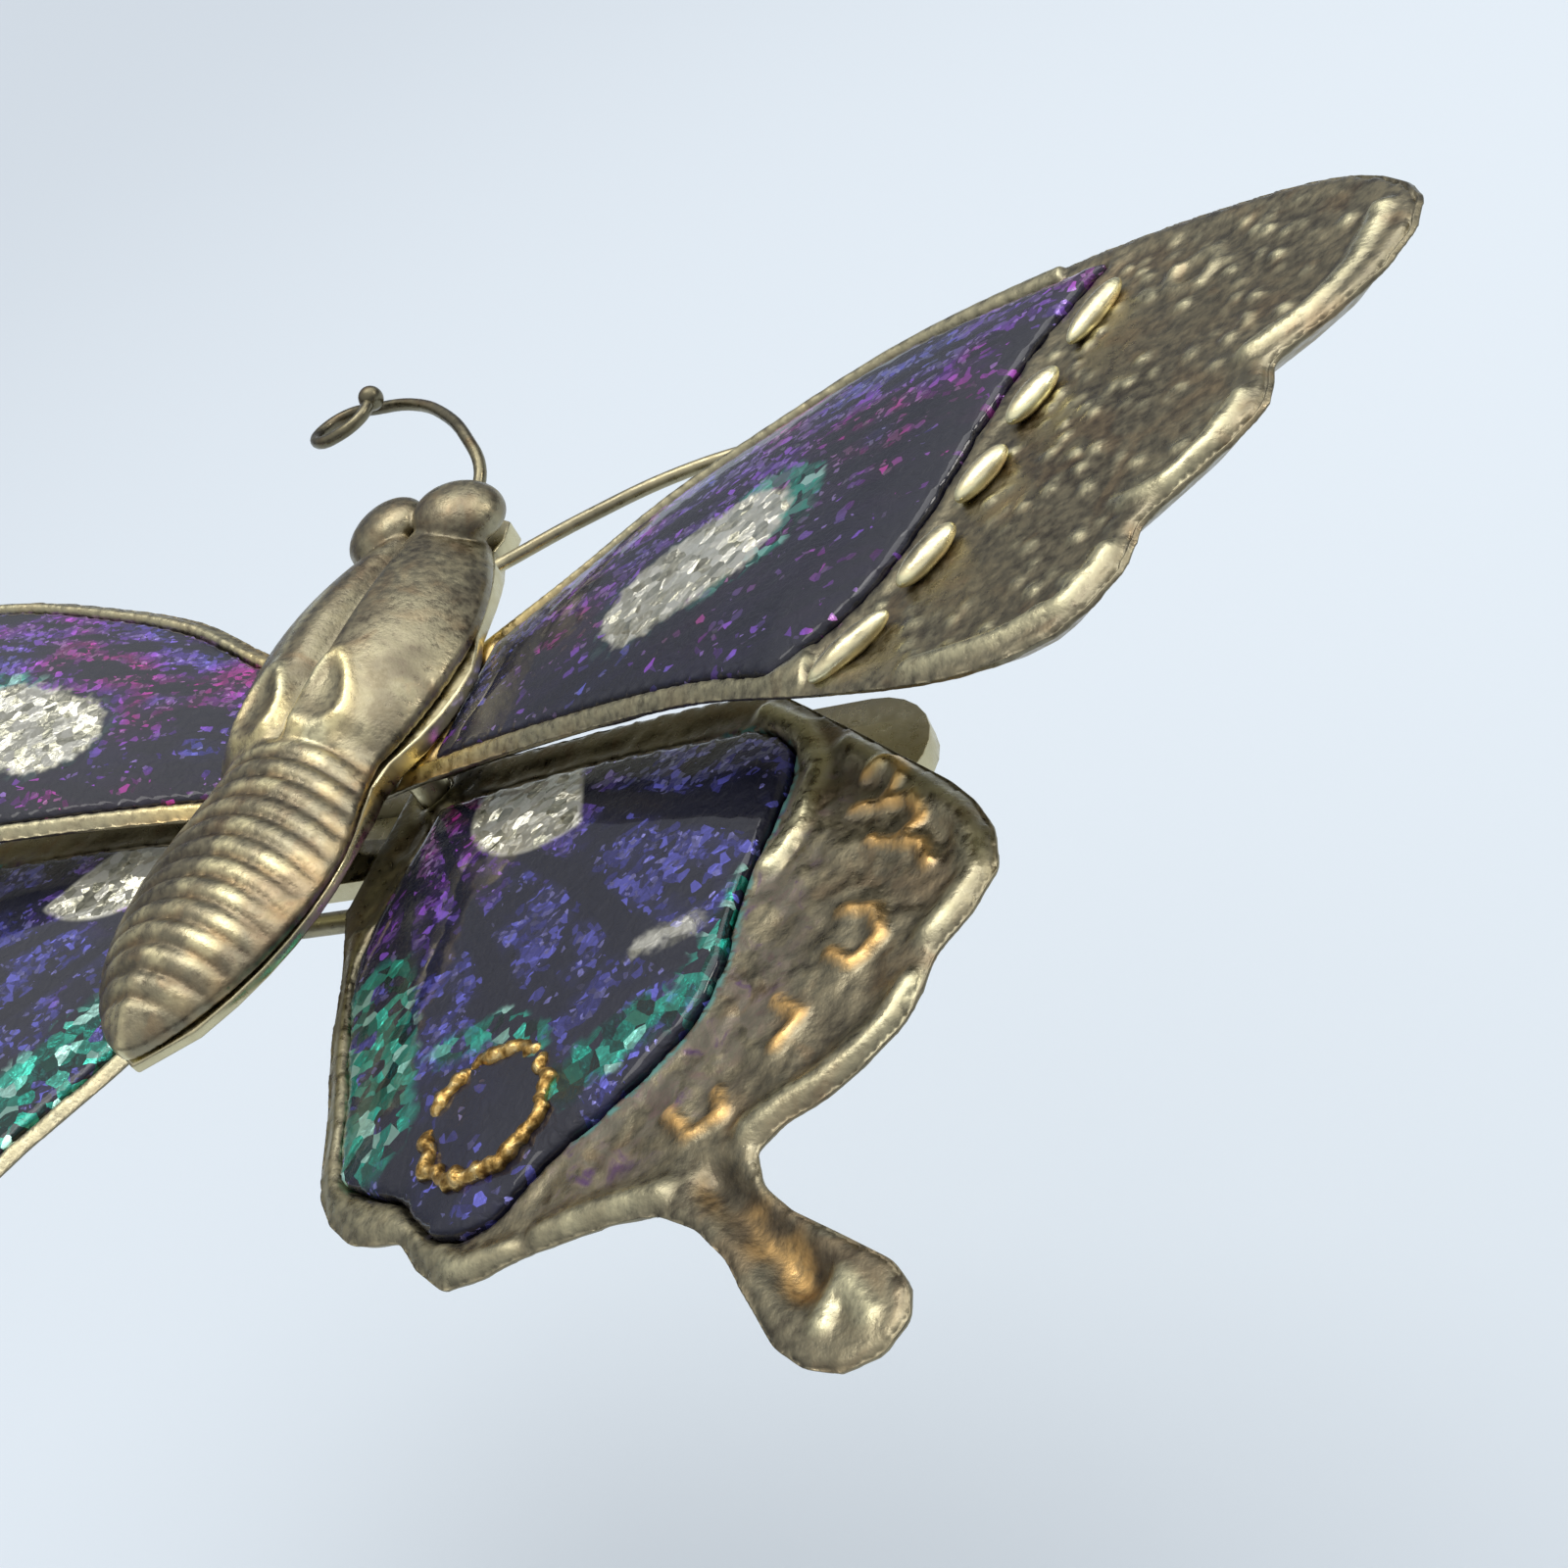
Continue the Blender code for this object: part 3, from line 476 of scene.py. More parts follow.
def glitter(name, zones):
    """Glaze with flakes. `zones` gives the density, hue, silver and teal at a place."""
    f = Finish(name)
    density, hue, silver, teal = zones(f, *mirrored_spot(f))
    there, _, bright, lean = flake_layer(f, FLAKE_MM, density)
    few = f.math('MULTIPLY', density, 0.30)
    spark, _, spark_painted_glint, spark_lean = flake_layer(f, SPARK_MM, few)
    big, pick_hue, big_bright, big_lean = flake_layer(f, BIG_FLAKE_MM, 0.80)
    strong = f.mix(1.0, hue, (3.2, 3.2, 2.6), blend='MULTIPLY')
    base = f.mix(f.math('MULTIPLY', density, 0.22), INK, hue)
    # painted glints: flakes brightened in the colour by a random power of their brightness
    base = f.mix(there, base, f.mix(f.math('POWER', bright, 3.0), f.mix(0.45, hue, INK), strong))
    # painted glints: the fine sparks are mixed towards near white
    base = f.mix(f.math('MULTIPLY', spark, spark_painted_glint), base, f.mix(0.25, strong, (0.8, 0.75, 1.0)))
    mint = f.ramp(f.math('ADD', f.math('MULTIPLY', big_bright, 0.7), f.math('MULTIPLY', pick_hue, 0.3)),
                  (0.25, (0.004, 0.035, 0.035)), (0.5, TEAL), (0.68, (0.05, 0.50, 0.38)), (0.84, MINT))
    teal_here = f.math('MULTIPLY', teal, big)
    base = f.mix(teal_here, base, mint)
    crinkle = f.noise(0.32, 4, distortion=0.6)
    foil = f.math('MULTIPLY_ADD', big_bright, 0.45, f.math('MULTIPLY', crinkle, 0.7))
    pale = f.ramp(foil, (0.28, (0.28, 0.28, 0.20)), (0.46, (0.66, 0.64, 0.49)), (0.72, (0.97, 0.95, 0.82)))
    base = f.mix(silver, base, pale)
    flaky = f.math('MAXIMUM', f.math('MAXIMUM', f.math('MULTIPLY', there, 0.6), spark),
                   f.math('MAXIMUM', silver, teal_here), clamp=True)
    bold = f.math('MAXIMUM', silver, teal_here)
    tilt = f.vector('ADD', f.vector('SCALE', lean, scale=f.math('MULTIPLY', there, 0.5)),
                    f.vector('SCALE', big_lean, scale=f.math('MULTIPLY', bold, 0.8)))
    tilt = f.vector('ADD', tilt, f.vector('SCALE', spark_lean, scale=f.math('MULTIPLY', spark, 0.5)))
    creased = f.bump(crinkle, 0.10)
    normal = f.vector('NORMALIZE', f.vector('ADD', creased, tilt))
    return f.set(Base_Color=base, Metallic=f.math('MULTIPLY', flaky, 0.8),
                 Roughness=f.step(flaky, 0, 1, 0.5, 0.30), Normal=normal,
                 Coat_Weight=1.0, Coat_Roughness=0.04, Coat_IOR=1.45,
                 Coat_Normal=f.bump(f.noise(2.2, 2), 0.04), Specular_IOR_Level=0.2)


# %% [markdown]
# The flakes aren't spread evenly. Each wing has its own map of where they crowd, what hue they have,
# and where silver or mint ones lie. A drawn map could do this, but lines and circles on the plan
# need no picture and stay sharp from close by.

# %% Where the flakes lie


def forewing_zones(f, spot, x, y):
    """Blue and violet along the front edge, darker behind, magenta near the pale oval."""
    streak = f.noise(1.0, 3, f.vector('MULTIPLY', spot, (0.35, 1.3, 1.0)))
    front = f.step(f.math('SUBTRACT', y, f.math('MULTIPLY', x, 0.10)), -1.5, 6.0, 0.12, 0.85)
    density = f.math('MULTIPLY', f.step(streak, 0.40, 0.60), front)
    hue = f.ramp(f.noise(4.5, 2), (0.36, BLUE), (0.48, VIOLET), (0.60, MAGENTA), (0.70, BLUE))
    silver = near_line(f, spot, (12.6, 1.75), (15.2, 2.45), 1.65, 2.1)
    edge = near_line(f, spot, (12.4, 1.7), (15.9, 2.65), 1.95, 2.5)
    teal = f.math('MULTIPLY', edge, f.step(x, 13.8, 16.2, 0.05, 0.85))
    return density, hue, silver, teal


def hindwing_zones(f, spot, x, y):
    """Streaks between dark veins that spread from the root, and mint flakes near the tip."""
    across = f.math('SUBTRACT', x, 2.0)
    down = f.math('SUBTRACT', 0.5, y)
    angle = f.math('ARCTAN2', across, down)
    reach = f.vector('LENGTH', f.join(across, down, 0.0))
    vein = f.math('ABSOLUTE', f.math('SINE', f.math('MULTIPLY_ADD', angle, 13.0, f.noise(5.0, 1))))
    patch = f.step(f.noise(1.4, 3), 0.40, 0.60, 0.06, 1.0)
    density = f.math('MULTIPLY', f.math('MULTIPLY', f.step(vein, 0.26, 0.65), patch), 0.75)
    hue = f.ramp(f.math('MULTIPLY_ADD', reach, 0.055, f.math('MULTIPLY_ADD', f.noise(2.0, 2), 0.5, -0.25)),
                 (0.15, MAGENTA), (0.36, VIOLET), (0.55, BLUE), (0.85, BLUE))
    disc = f.step(f.vector('DISTANCE', spot, (9.0, -1.4, 0)), 3.5, 3.2)
    cut = f.step(f.math('ADD', x, f.math('MULTIPLY', y, 0.42)), 9.1, 8.8)
    silver = f.math('MAXIMUM', f.math('MULTIPLY', disc, cut),
                    f.math('MULTIPLY', near_line(f, spot, (14.7, -9.4), (16.0, -9.0), 0.05, 0.5), 0.6))
    teal = near_line(f, spot, (5.4, -9.0), (7.9, -13.6), 0.9, 1.6)
    for start, end, inner in (((9.4, -11.5), (10.9, -11.0), 0.15), ((10.9, -11.0), (12.4, -11.7), 0.15),
                              ((13.9, -13.0), (15.6, -11.5), 0.35), ((16.4, -11.6), (17.2, -7.6), 0.05)):
        teal = f.math('MAXIMUM', teal, near_line(f, spot, start, end, inner, inner + 0.5))
    clear = f.step(f.vector('DISTANCE', spot, (11.7, -13.5, 0)), 1.3, 1.9, 0.12, 1.0)
    return f.math('MULTIPLY', density, clear), hue, silver, f.math('MULTIPLY', teal, clear)


forewing_glaze = glitter("forewing_glaze", forewing_zones)
hindwing_glaze = glitter("hindwing_glaze", hindwing_zones)
print("two glazes")

# %% [markdown]
# ## Where the wing tops are
# Each wing is a plate that tilts up from the body. Rays cast down at its mesh would find its top, but
# a flat tilted top needs only a base height and an angle, so these numbers give its height over any
# place on the plan, and ribs, dashes and rings can be laid on it.

# %% Where the wing tops are
FORE_TILT = math.radians(13.8)
HIND_TILT = math.radians(8.2)
FORE_THICK = 1.0
HIND_THICK = 0.8
HIND_BASE = 0.9
HIND_TOP = HIND_BASE + HIND_THICK / math.cos(HIND_TILT)
FORE_BASE = HIND_TOP + 0.1
FORE_TOP = FORE_BASE + FORE_THICK / math.cos(FORE_TILT)
ENAMEL_PROUD = 0.12
SHARP_ANGLE = 0.9
LEVEL_MARGIN = 0.03
OUTLINE_STEP = 0.06
WINGS = {
    "forewing": {"tilt": FORE_TILT, "base": FORE_BASE, "top": FORE_TOP, "glaze": forewing_glaze},
    "hindwing": {"tilt": HIND_TILT, "base": HIND_BASE, "top": HIND_TOP, "glaze": hindwing_glaze},
}


def on_wing(kind, side, x, y, lift):
    """The point over a wing's flat top at a place on the plan, in millimetres."""
    wing = WINGS[kind]
    return Vector((side * x, y, wing["top"] + x * math.tan(wing["tilt"]) + lift))


def clamp01(value):
    """Keep a value between 0 and 1."""
    return max(0.0, min(1.0, value))


def ease(value, low, high):
    """A smooth step from 0 at low to 1 at high."""
    t = clamp01((value - low) / (high - low))
    return t * t * (3 - 2 * t)


def plan_edges(item, low_height):
    """A search tree of points along a piece's outline, at a height over the wing's plane."""
    wing = WINGS["forewing" if "forewing" in item.name else "hindwing"]
    bm = bmesh.new()
    bm.from_mesh(item.data)
    spots = []
    for edge in bm.edges:
        if len(edge.link_faces) == 2 and edge.calc_face_angle(0) > SHARP_ANGLE:
            ends = [v.co / MM for v in edge.verts]
            over = [p.z - wing["base"] - abs(p.x) * math.tan(wing["tilt"]) - low_height for p in ends]
            if max(abs(value) for value in over) < LEVEL_MARGIN:
                steps = max(1, int((ends[1] - ends[0]).length / OUTLINE_STEP))
                spots += [ends[0].lerp(ends[1], k / steps) for k in range(steps)]
    bm.free()
    tree = KDTree(len(spots))
    for k, spot in enumerate(spots):
        tree.insert((abs(spot.x), spot.y, 0), k)
    tree.balance()
    return tree


def line_distance(lines, x, y):
    """Distance on the plan to the nearest of some drawn lines."""
    best = 99.0
    for line in lines:
        for (ax, ay), (bx, by) in zip(line, line[1:]):
            dx, dy = bx - ax, by - ay
            t = clamp01(((x - ax) * dx + (y - ay) * dy) / (dx * dx + dy * dy))
            best = min(best, math.hypot(x - ax - t * dx, y - ay - t * dy))
    return best


# %% [markdown]
# ## Wing plates
# A stamped plate has rolled edges, low ribs and pebbles that a flat solid lacks. A voxel remesh gives
# its copy an even skin of small faces, which also rounds the edges as stamping does. The skin is then
# raised or sunk by the distance to the rim, to the enamel and to a few drawn ribs: the ribbons inside
# each scallop of the forewing, the curved rib, the rolled edge and the scrolls of the hindwing, and
# the trough along its tail. Each function returns the height, and how rubbed, stained and gilt the
# brass is there.

# %% Drawn ribs and the height of each plate
FORE_RIBBONS = [
    [(29.8, -0.5), (31.0, 0.0), (32.0, 1.1), (32.6, 2.5)],
    [(27.4, -3.9), (28.4, -3.9), (29.2, -3.0), (29.6, -2.1)],
    [(22.6, -6.5), (24.6, -6.7), (26.2, -6.5), (27.0, -5.4)],
]
FORE_EYELET = (28.3, 4.5)
HIND_RIB = [[(15.9, -1.6), (17.4, -2.8), (18.3, -4.4), (18.1, -6.2), (17.6, -7.4)]]
HIND_ROLLS = [
    [(19.0, -3.9), (20.8, -5.5), (22.8, -7.6), (23.3, -9.2), (22.5, -10.6)],
    [(22.3, -11.9), (21.8, -13.0), (20.6, -13.9), (19.2, -14.7)],
    [(17.4, -16.0), (15.9, -16.2), (14.6, -16.6)], [(13.7, -17.0), (12.3, -17.2), (11.0, -16.8)],
    [(9.8, -15.9), (8.5, -15.8), (7.3, -15.1)],
]
SCROLLS = [
    [(19.8, -5.2), (20.6, -5.0), (21.0, -5.7), (20.4, -6.3), (19.7, -6.2)],
    [(20.4, -6.3), (21.3, -6.5), (21.7, -7.2), (21.1, -7.7), (20.4, -7.4)],
    [(21.1, -7.7), (21.8, -8.0), (22.1, -8.6)],
    [(20.1, -9.4), (21.0, -9.6), (21.3, -10.4), (20.7, -11.0), (20.1, -10.6)],
    [(19.0, -11.6), (19.7, -12.1), (19.3, -12.8)],
    [(17.0, -14.1), (17.7, -14.7), (18.4, -14.3), (18.1, -13.7)],
]
TAIL_TROUGH = [[(18.8, -15.9), (20.2, -17.0), (21.4, -18.1)]]
TAIL_WEDGE = [[(22.2, -18.2), (22.9, -18.9)], [(22.2, -18.2), (22.0, -19.0)]]


def forewing_height(x, y, rim, cell):
    """The forewing's rims are round bars, and its outer band is finely pebbled."""
    width = rim + cell
    if width < 1.7 and x < 24.5:
        round_bar = 4 * rim * cell / (width * width)
        near_body = ease(x, 9.0, 4.0)
        return 0.22 * round_bar, 0.15 + (0.35 + 0.4 * near_body) * round_bar, 0.0, 0.8 * near_body
    (near, _, _, _), places = soft.voronoi(Vector((x, y, 0)) / 0.56)
    kept = ease(soft.noise(places[0] * 3.7), -0.25, 0.1)
    pebble = ease(near, 0.55, 0.1) * kept
    band = ease(rim, 0.5, 1.1) * ease(cell, 0.4, 0.9)
    swell = soft.noise(Vector((x, y, 4)) / 2.6) * 0.07
    ribbon = ease(line_distance(FORE_RIBBONS, x, y), 0.42, 0.08)
    eyelet = ease(abs(math.hypot(x - FORE_EYELET[0], y - FORE_EYELET[1]) - 0.6), 0.3, 0.05)
    height = band * (0.11 * pebble + swell - 0.10) + 0.20 * ribbon + 0.10 * eyelet
    return height, max(0.8 * ribbon, 0.75 * band * pebble, 0.3 * eyelet), 0.0, 0.0


def hindwing_height(x, y, rim, cell):
    """The hindwing's border is pitted and stained, with scrolls and a rolled edge."""
    width = rim + cell
    if width < 1.25 and x < 12:
        round_bar = 4 * rim * cell / (width * width)
        return 0.14 * round_bar, 0.1 + 0.25 * round_bar, 0.0, 0.0
    band = ease(rim, 0.5, 1.3) * ease(cell, 0.1, 0.8)
    lumps = soft.fractal(Vector((x, y, 0)) / 1.3, 0.7, 2.0, 4) * 0.11
    rib = ease(line_distance(HIND_RIB, x, y), 0.5, 0.1)
    roll = ease(line_distance(HIND_ROLLS, x, y), 0.55, 0.08)
    scroll = ease(line_distance(SCROLLS, x, y), 0.26, 0.06)
    trough = ease(line_distance(TAIL_TROUGH, x, y), 0.75, 0.1)
    wedge = ease(line_distance(TAIL_WEDGE, x, y), 0.35, 0.1)
    height = band * (lumps - 0.10) + 0.24 * rib + 0.17 * roll - 0.26 * trough + 0.15 * scroll + 0.10 * wedge
    crust = ease(cell, 0.75, 0.2) * ease(x, 13.0, 15.0)
    stain = max(0.75 * ease(cell, 3.4, 0.8) * ease(rim, 0.5, 1.3) * ease(x, 12.5, 15.0), crust) * (1 - rib)
    glow = ease(soft.noise(Vector((x, y, 9)) / 0.9), -0.1, 0.4)
    rub_and_highlight = max(0.8 * rib, 0.75 * roll * (0.4 + 0.6 * glow), 0.8 * wedge)
    return height, rub_and_highlight, stain, max(scroll, 0.9 * trough * glow)


# %% [markdown]
# The shaping loop writes rubbing, stain, painted shade and gilt into a colour attribute, and the
# brass reads it, so the bright metal sits exactly on the ribs, while the sunk parts, the walls and the
# underside are darkened as painted shade. Only the right wing is shaped, and the left one is its
# mirror image. The rim is thinned from below, as the edge of a stamped sheet is, except over the
# posts.

# %% Shape the plates
VOXEL_MM = 0.13
THIN_EDGE = 0.78
THIN_REACH = 1.3
POST_X = 12.5
POST_CLEAR = (1.4, 2.4)


def even_skin(item, voxel_mm, rounds):
    """Give a piece an even skin of small faces with softened edges."""
    pick(item)
    bpy.ops.object.modifier_add(type='REMESH')
    remesh = item.modifiers[-1]
    remesh.mode = 'VOXEL'
    remesh.voxel_size = voxel_mm * MM
    bpy.ops.object.modifier_add(type='SMOOTH')
    item.modifiers[-1].factor = 0.5
    item.modifiers[-1].iterations = rounds
    apply_all(item)
    bpy.ops.object.shade_smooth()


def mirror_piece(item, name):
    """The mirror image of a piece, for the other side."""
    twin = bpy.data.objects.new(name, item.data.copy())
    bpy.context.collection.objects.link(twin)
    twin.data.transform(Matrix.Scale(-1, 4, (1, 0, 0)))
    twin.data.flip_normals()
    return twin


def worn_brass_with_painted_light(name, stain_hues):
    """Brass whose rubbing, painted highlight, stain, painted shade and gilding come from the piece's own
    attribute.
    """
    f = Finish(name)
    node = f.tree.nodes.new("ShaderNodeAttribute")
    node.attribute_name = "wear_and_painted_light"
    rub_and_highlight, stain, painted_shade = f.split(node.outputs["Vector"])
    gilt = node.outputs["Alpha"]
    broad = f.noise(2.6, 5)
    fine = f.noise(0.28, 5)
    base = f.ramp(f.math('ADD', f.math('MULTIPLY', broad, 0.6), f.math('MULTIPLY', fine, 0.4)),
                  (0.34, (0.14, 0.12, 0.085)), (0.47, OLIVE), (0.58, (0.30, 0.262, 0.172)),
                  (0.72, (0.42, 0.37, 0.24)))
    rust = f.step(f.noise(1.5, 5, distortion=0.8), 0.50, 0.66)
    base = f.mix(f.math('MULTIPLY', rust, 0.30), base, (0.30, 0.18, 0.09))
    hue = f.ramp(f.noise(0.9, 4, distortion=1.0), *stain_hues)
    veil = f.math('MULTIPLY', f.step(stain, 0.05, 0.7), f.step(f.noise(0.8, 5, distortion=0.7), 0.40, 0.56))
    base = f.mix(f.math('MULTIPLY', veil, 0.85), base, hue)
    crust = f.math('MULTIPLY', f.step(stain, 0.76, 0.98), f.step(fine, 0.38, 0.55))
    base = f.mix(f.math('MULTIPLY', crust, 0.85), base, (0.10, 0.30, 0.27))
    # painted shade: the hollows, the walls and the underside are darkened
    base = f.mix(f.math('MULTIPLY', painted_shade, 0.55), base, (0.07, 0.05, 0.035))
    base = f.mix(f.math('MULTIPLY', gilt, f.step(fine, 0.3, 0.55, 0.55, 1.0)), base, (0.72, 0.45, 0.17))
    # rubbed bright, and on the body partly a painted highlight
    bright = f.math('MULTIPLY', rub_and_highlight, f.step(fine, 0.25, 0.6, 0.45, 1.0))
    base = f.mix(bright, base, f.mix(gilt, (0.74, 0.69, 0.44), (0.92, 0.74, 0.30)))
    dull = f.math('MAXIMUM', f.math('MULTIPLY', veil, 0.6), f.math('MULTIPLY', crust, 0.8))
    rough = f.math('SUBTRACT', f.step(fine, 0.3, 0.7, 0.26, 0.50), f.math('MULTIPLY', bright, 0.10))
    grain = f.math('ADD', fine, f.math('MULTIPLY', f.noise(0.1, 2), 0.4))
    return f.set(Base_Color=base, Metallic=f.math('SUBTRACT', 1.0, dull), Roughness=rough,
                 Normal=f.bump(grain, 0.02))


STAINS = {
    "forewing": [(0.35, OLIVE), (0.6, OLIVE)],
    "hindwing": [(0.34, (0.17, 0.11, 0.10)), (0.46, (0.16, 0.15, 0.11)), (0.56, (0.24, 0.19, 0.15)),
                 (0.66, (0.10, 0.035, 0.16))],
}
HEIGHTS = {"forewing": forewing_height, "hindwing": hindwing_height}
PLATE_FINISH = {kind: worn_brass_with_painted_light(f"{kind}_brass", STAINS[kind]) for kind in WINGS}


def shape_plate(kind):
    """The stamped plate of the right wing."""
    plate = copy_node(f"{kind}_right", f"{kind}_plate_right")
    fill = copy_node(f"{kind}_enamel_right", f"{kind}_outline")
    base, tilt = WINGS[kind]["base"], math.tan(WINGS[kind]["tilt"])
    thick = WINGS[kind]["top"] - base
    rim_tree = plan_edges(plate, 0.0)
    cell_tree = plan_edges(fill, thick + ENAMEL_PROUD)
    bpy.data.objects.remove(fill, do_unlink=True)
    even_skin(plate, VOXEL_MM, 5)
    wear_and_painted_light = plate.data.color_attributes.new("wear_and_painted_light", 'FLOAT_COLOR', 'POINT')
    upward = [vert.normal.z for vert in plate.data.vertices]
    for vert in plate.data.vertices:
        x, y, z = vert.co / MM
        over = z - base - x * tilt
        rim = rim_tree.find((x, y, 0))[2]
        if over < thick * 0.75 or upward[vert.index] < 0.2:
            clear_of_post = ease(math.hypot(x - POST_X, y), *POST_CLEAR)
            thinner = THIN_EDGE * thick * (1 - ease(rim, 0.0, THIN_REACH)) * clear_of_post
            vert.co.z += thinner * (1 - clamp01(over / thick)) * MM
            # painted shade: the walls and the underside are a little darker
            wear_and_painted_light.data[vert.index].color = (0.05, 0, 0.25, 0)
            continue
        height, rub_and_highlight, stain, gilt = HEIGHTS[kind](x, y, rim, cell_tree.find((x, y, 0))[2])
        height *= ease(rim, 0.0, 0.4)
        vert.co.z += height * MM
        # painted shade: the sunk parts of the top are darker
        painted_shade = ease(height, 0.0, -0.25)
        wear_and_painted_light.data[vert.index].color = (clamp01(rub_and_highlight), clamp01(stain), painted_shade, clamp01(gilt))
    pick(plate)
    bpy.ops.object.modifier_add(type='SMOOTH')
    plate.modifiers[-1].iterations = 2
    apply_all(plate)
    return plate


for kind in WINGS:
    plate = shape_plate(kind)
    twin = mirror_piece(plate, f"{kind}_plate_left")
    finish_piece(plate, "frame", "aged_brass", PLATE_FINISH[kind], f"{kind}_right")
    finish_piece(twin, "frame", "aged_brass", PLATE_FINISH[kind], f"{kind}_left")
    print(plate.name, count_faces(plate), "faces")

# %% [markdown]
# ## Enamel
# Glaze stands up in a low dome because it pulls itself together while it melts. Cloth blown up with
# pressure would give such a dome too, but here each fill gets the same even skin as the plates, and
# its top rises with the distance from the cell's wall, which is quick and keeps the wall in place.

# %% Dome the enamel
DOME_MM = 0.25
DOME_REACH_MM = 3.2
FILL_VOXEL_MM = 0.15
NEAR_TOP = 0.1


def shape_fill(kind):
    """The domed glaze of the right wing."""
    fill = copy_node(f"{kind}_enamel_right", f"{kind}_glaze_right")
    base, tilt = WINGS[kind]["base"], math.tan(WINGS[kind]["tilt"])
    thick = WINGS[kind]["top"] - base
    wall_tree = plan_edges(fill, thick + ENAMEL_PROUD)
    even_skin(fill, FILL_VOXEL_MM, 2)
    upward = [vert.normal.z for vert in fill.data.vertices]
    for vert in fill.data.vertices:
        x, y, z = vert.co / MM
        if z - base - x * tilt > thick - NEAR_TOP and upward[vert.index] > 0.3:
            away = min(1.0, wall_tree.find((x, y, 0))[2] / DOME_REACH_MM)
            vert.co.z += DOME_MM * MM * (1 - (1 - away) ** 2)
    return fill


for kind in WINGS:
    fill = shape_fill(kind)
    twin = mirror_piece(fill, f"{kind}_glaze_left")
    finish_piece(fill, "frame", "indigo_enamel", WINGS[kind]["glaze"], f"{kind}_enamel_right")
    finish_piece(twin, "frame", "indigo_enamel", WINGS[kind]["glaze"], f"{kind}_enamel_left")
    print(fill.name, count_faces(fill), "faces")

# %% [markdown]
# Raised dashes stand on the forewing's band, in a row beside the enamel. They could be raised out of
# the plate's own skin, but its faces are too coarse for so small and crisp a shape, so each is a
# stretched ball that lies along the wing, with its underside sunk into the plate.

# %% Dashes on the forewing
FORE_DASHES = [
    ((25.3, 3.9), (26.3, 5.6)), ((24.0, 1.5), (24.9, 2.8)), ((23.0, -0.9), (23.9, 0.3)),
    ((21.9, -3.3), (22.9, -2.0)), ((20.0, -5.5), (21.6, -4.3)),
]
DASH_RISE = 0.12
DASH_HALF_HEIGHT = 0.30


def dash_on_wing(name, side, start, end, width):
    """A stretched ball that lies between two places on the forewing."""
    a = on_wing("forewing", side, *start, DASH_RISE)
    b = on_wing("forewing", side, *end, DASH_RISE)
    along = (b - a).normalized()
    normal = Vector((-side * math.sin(FORE_TILT), 0, math.cos(FORE_TILT)))
    turn = Matrix((along, normal.cross(along), normal)).transposed()
    bpy.ops.object.select_all(action='DESELECT')
    bpy.ops.mesh.primitive_uv_sphere_add(segments=32, ring_count=16, radius=MM, location=(a + b) / 2 * MM,
                                         rotation=turn.to_euler(),
                                         scale=((b - a).length / 2 + 0.15, width, DASH_HALF_HEIGHT))
    dash = bpy.context.active_object
    dash.name = name
    rest_at_origin(dash)
    bpy.ops.object.shade_smooth()
    return dash


# painted highlight: the dashes are made 1.7 times brighter, with more rubbed edges
dash_brass_painted_highlight = aged_brass("dash_brass_painted_highlight", rub_and_highlight=2.0, tarnish=0.10, shade=1.7)
for label, side in SIDES.items():
    for number, (start, end) in enumerate(FORE_DASHES):
        dash = dash_on_wing(f"forewing_dash_{label}_{number}", side, start, end, 0.36 + 0.06 * (number % 2))
        finish_piece(dash, "frame", "aged_brass", dash_brass_painted_highlight)
print(len(FORE_DASHES), "dashes on each forewing")

# %% [markdown]
# ## Body
# The body is one low casting: a flat leaf-shaped abdomen with cross ridges, two long lobes for the
# thorax with a groove between them, and two flattened round eyes. It could be sculpted, but rings
# and lobes are regular, so functions of the place give the half-width, the height and the rubbing,
# with a painted highlight on the left lobe and painted shade in the grooves.

# %% The body's shape
BODY_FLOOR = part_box("body_shell")[0][2] / MM
TAIL_Y = -12.0
WAIST_Y = -1.6
NECK_Y = 9.12
RIDGES = 14
EYE_PLACE = (1.6, 9.95)
EYE_SIZE = 1.68
EYE_RISE = 1.15
BELLY_HALF = 3.9
WAIST_HALF = 3.2
NECK_HALF = 2.6
CHEST_HALF = 4.6


def body_half(y):
    """Half-width of the body at a station along Y."""
    if y < WAIST_Y:
        t = (y - TAIL_Y) / (WAIST_Y - TAIL_Y)
        belly = BELLY_HALF * max(0.0, 1 - (1 - min(t / 0.62, 1)) ** 2) ** 0.75
        return belly + (WAIST_HALF - BELLY_HALF) * ease(t, 0.62, 1.0)
    t = min(1.0, (y - WAIST_Y) / (NECK_Y - WAIST_Y))
    swell = (CHEST_HALF - WAIST_HALF) * math.sin(math.pi * t) ** 0.8
    return WAIST_HALF + (NECK_HALF - WAIST_HALF) * t + swell


def ridge_groove(x, y):
    """1 on the thin line between two of the abdomen's rings, 0 on their backs."""
    phase = (y - TAIL_Y + 0.07 * x * x + 0.1 * x + 0.2) / (WAIST_Y - TAIL_Y + 0.6) * RIDGES
    off = abs(phase - round(phase))
    fade = ease(y, WAIST_Y + 0.9, WAIST_Y - 0.2) * ease(y, TAIL_Y + 0.6, TAIL_Y + 1.6)
    return math.exp(-(off / 0.18) ** 2) * fade


def lobe_drop(x, y):
    """How far a place is from the drop at the waist end of a lobe, as a share of its size."""
    return math.hypot((abs(x) - 1.3) / (0.95 - 0.22 * y), (y - 0.2) / 1.45)


def abdomen_height(x, u, y, half):
    """A shallow crown with fine rings and a keel at the tip."""
    crown = max(0.0, 1 - abs(u) ** 2.1)
    keel = ease(abs(x), 0.5, 0.05) * ease(y, TAIL_Y + 3.4, TAIL_Y + 1.0)
    return 1.30 * crown * min(1.0, half / WAIST_HALF) - 0.17 * ridge_groove(x, y) * crown ** 0.3 + 0.12 * keel


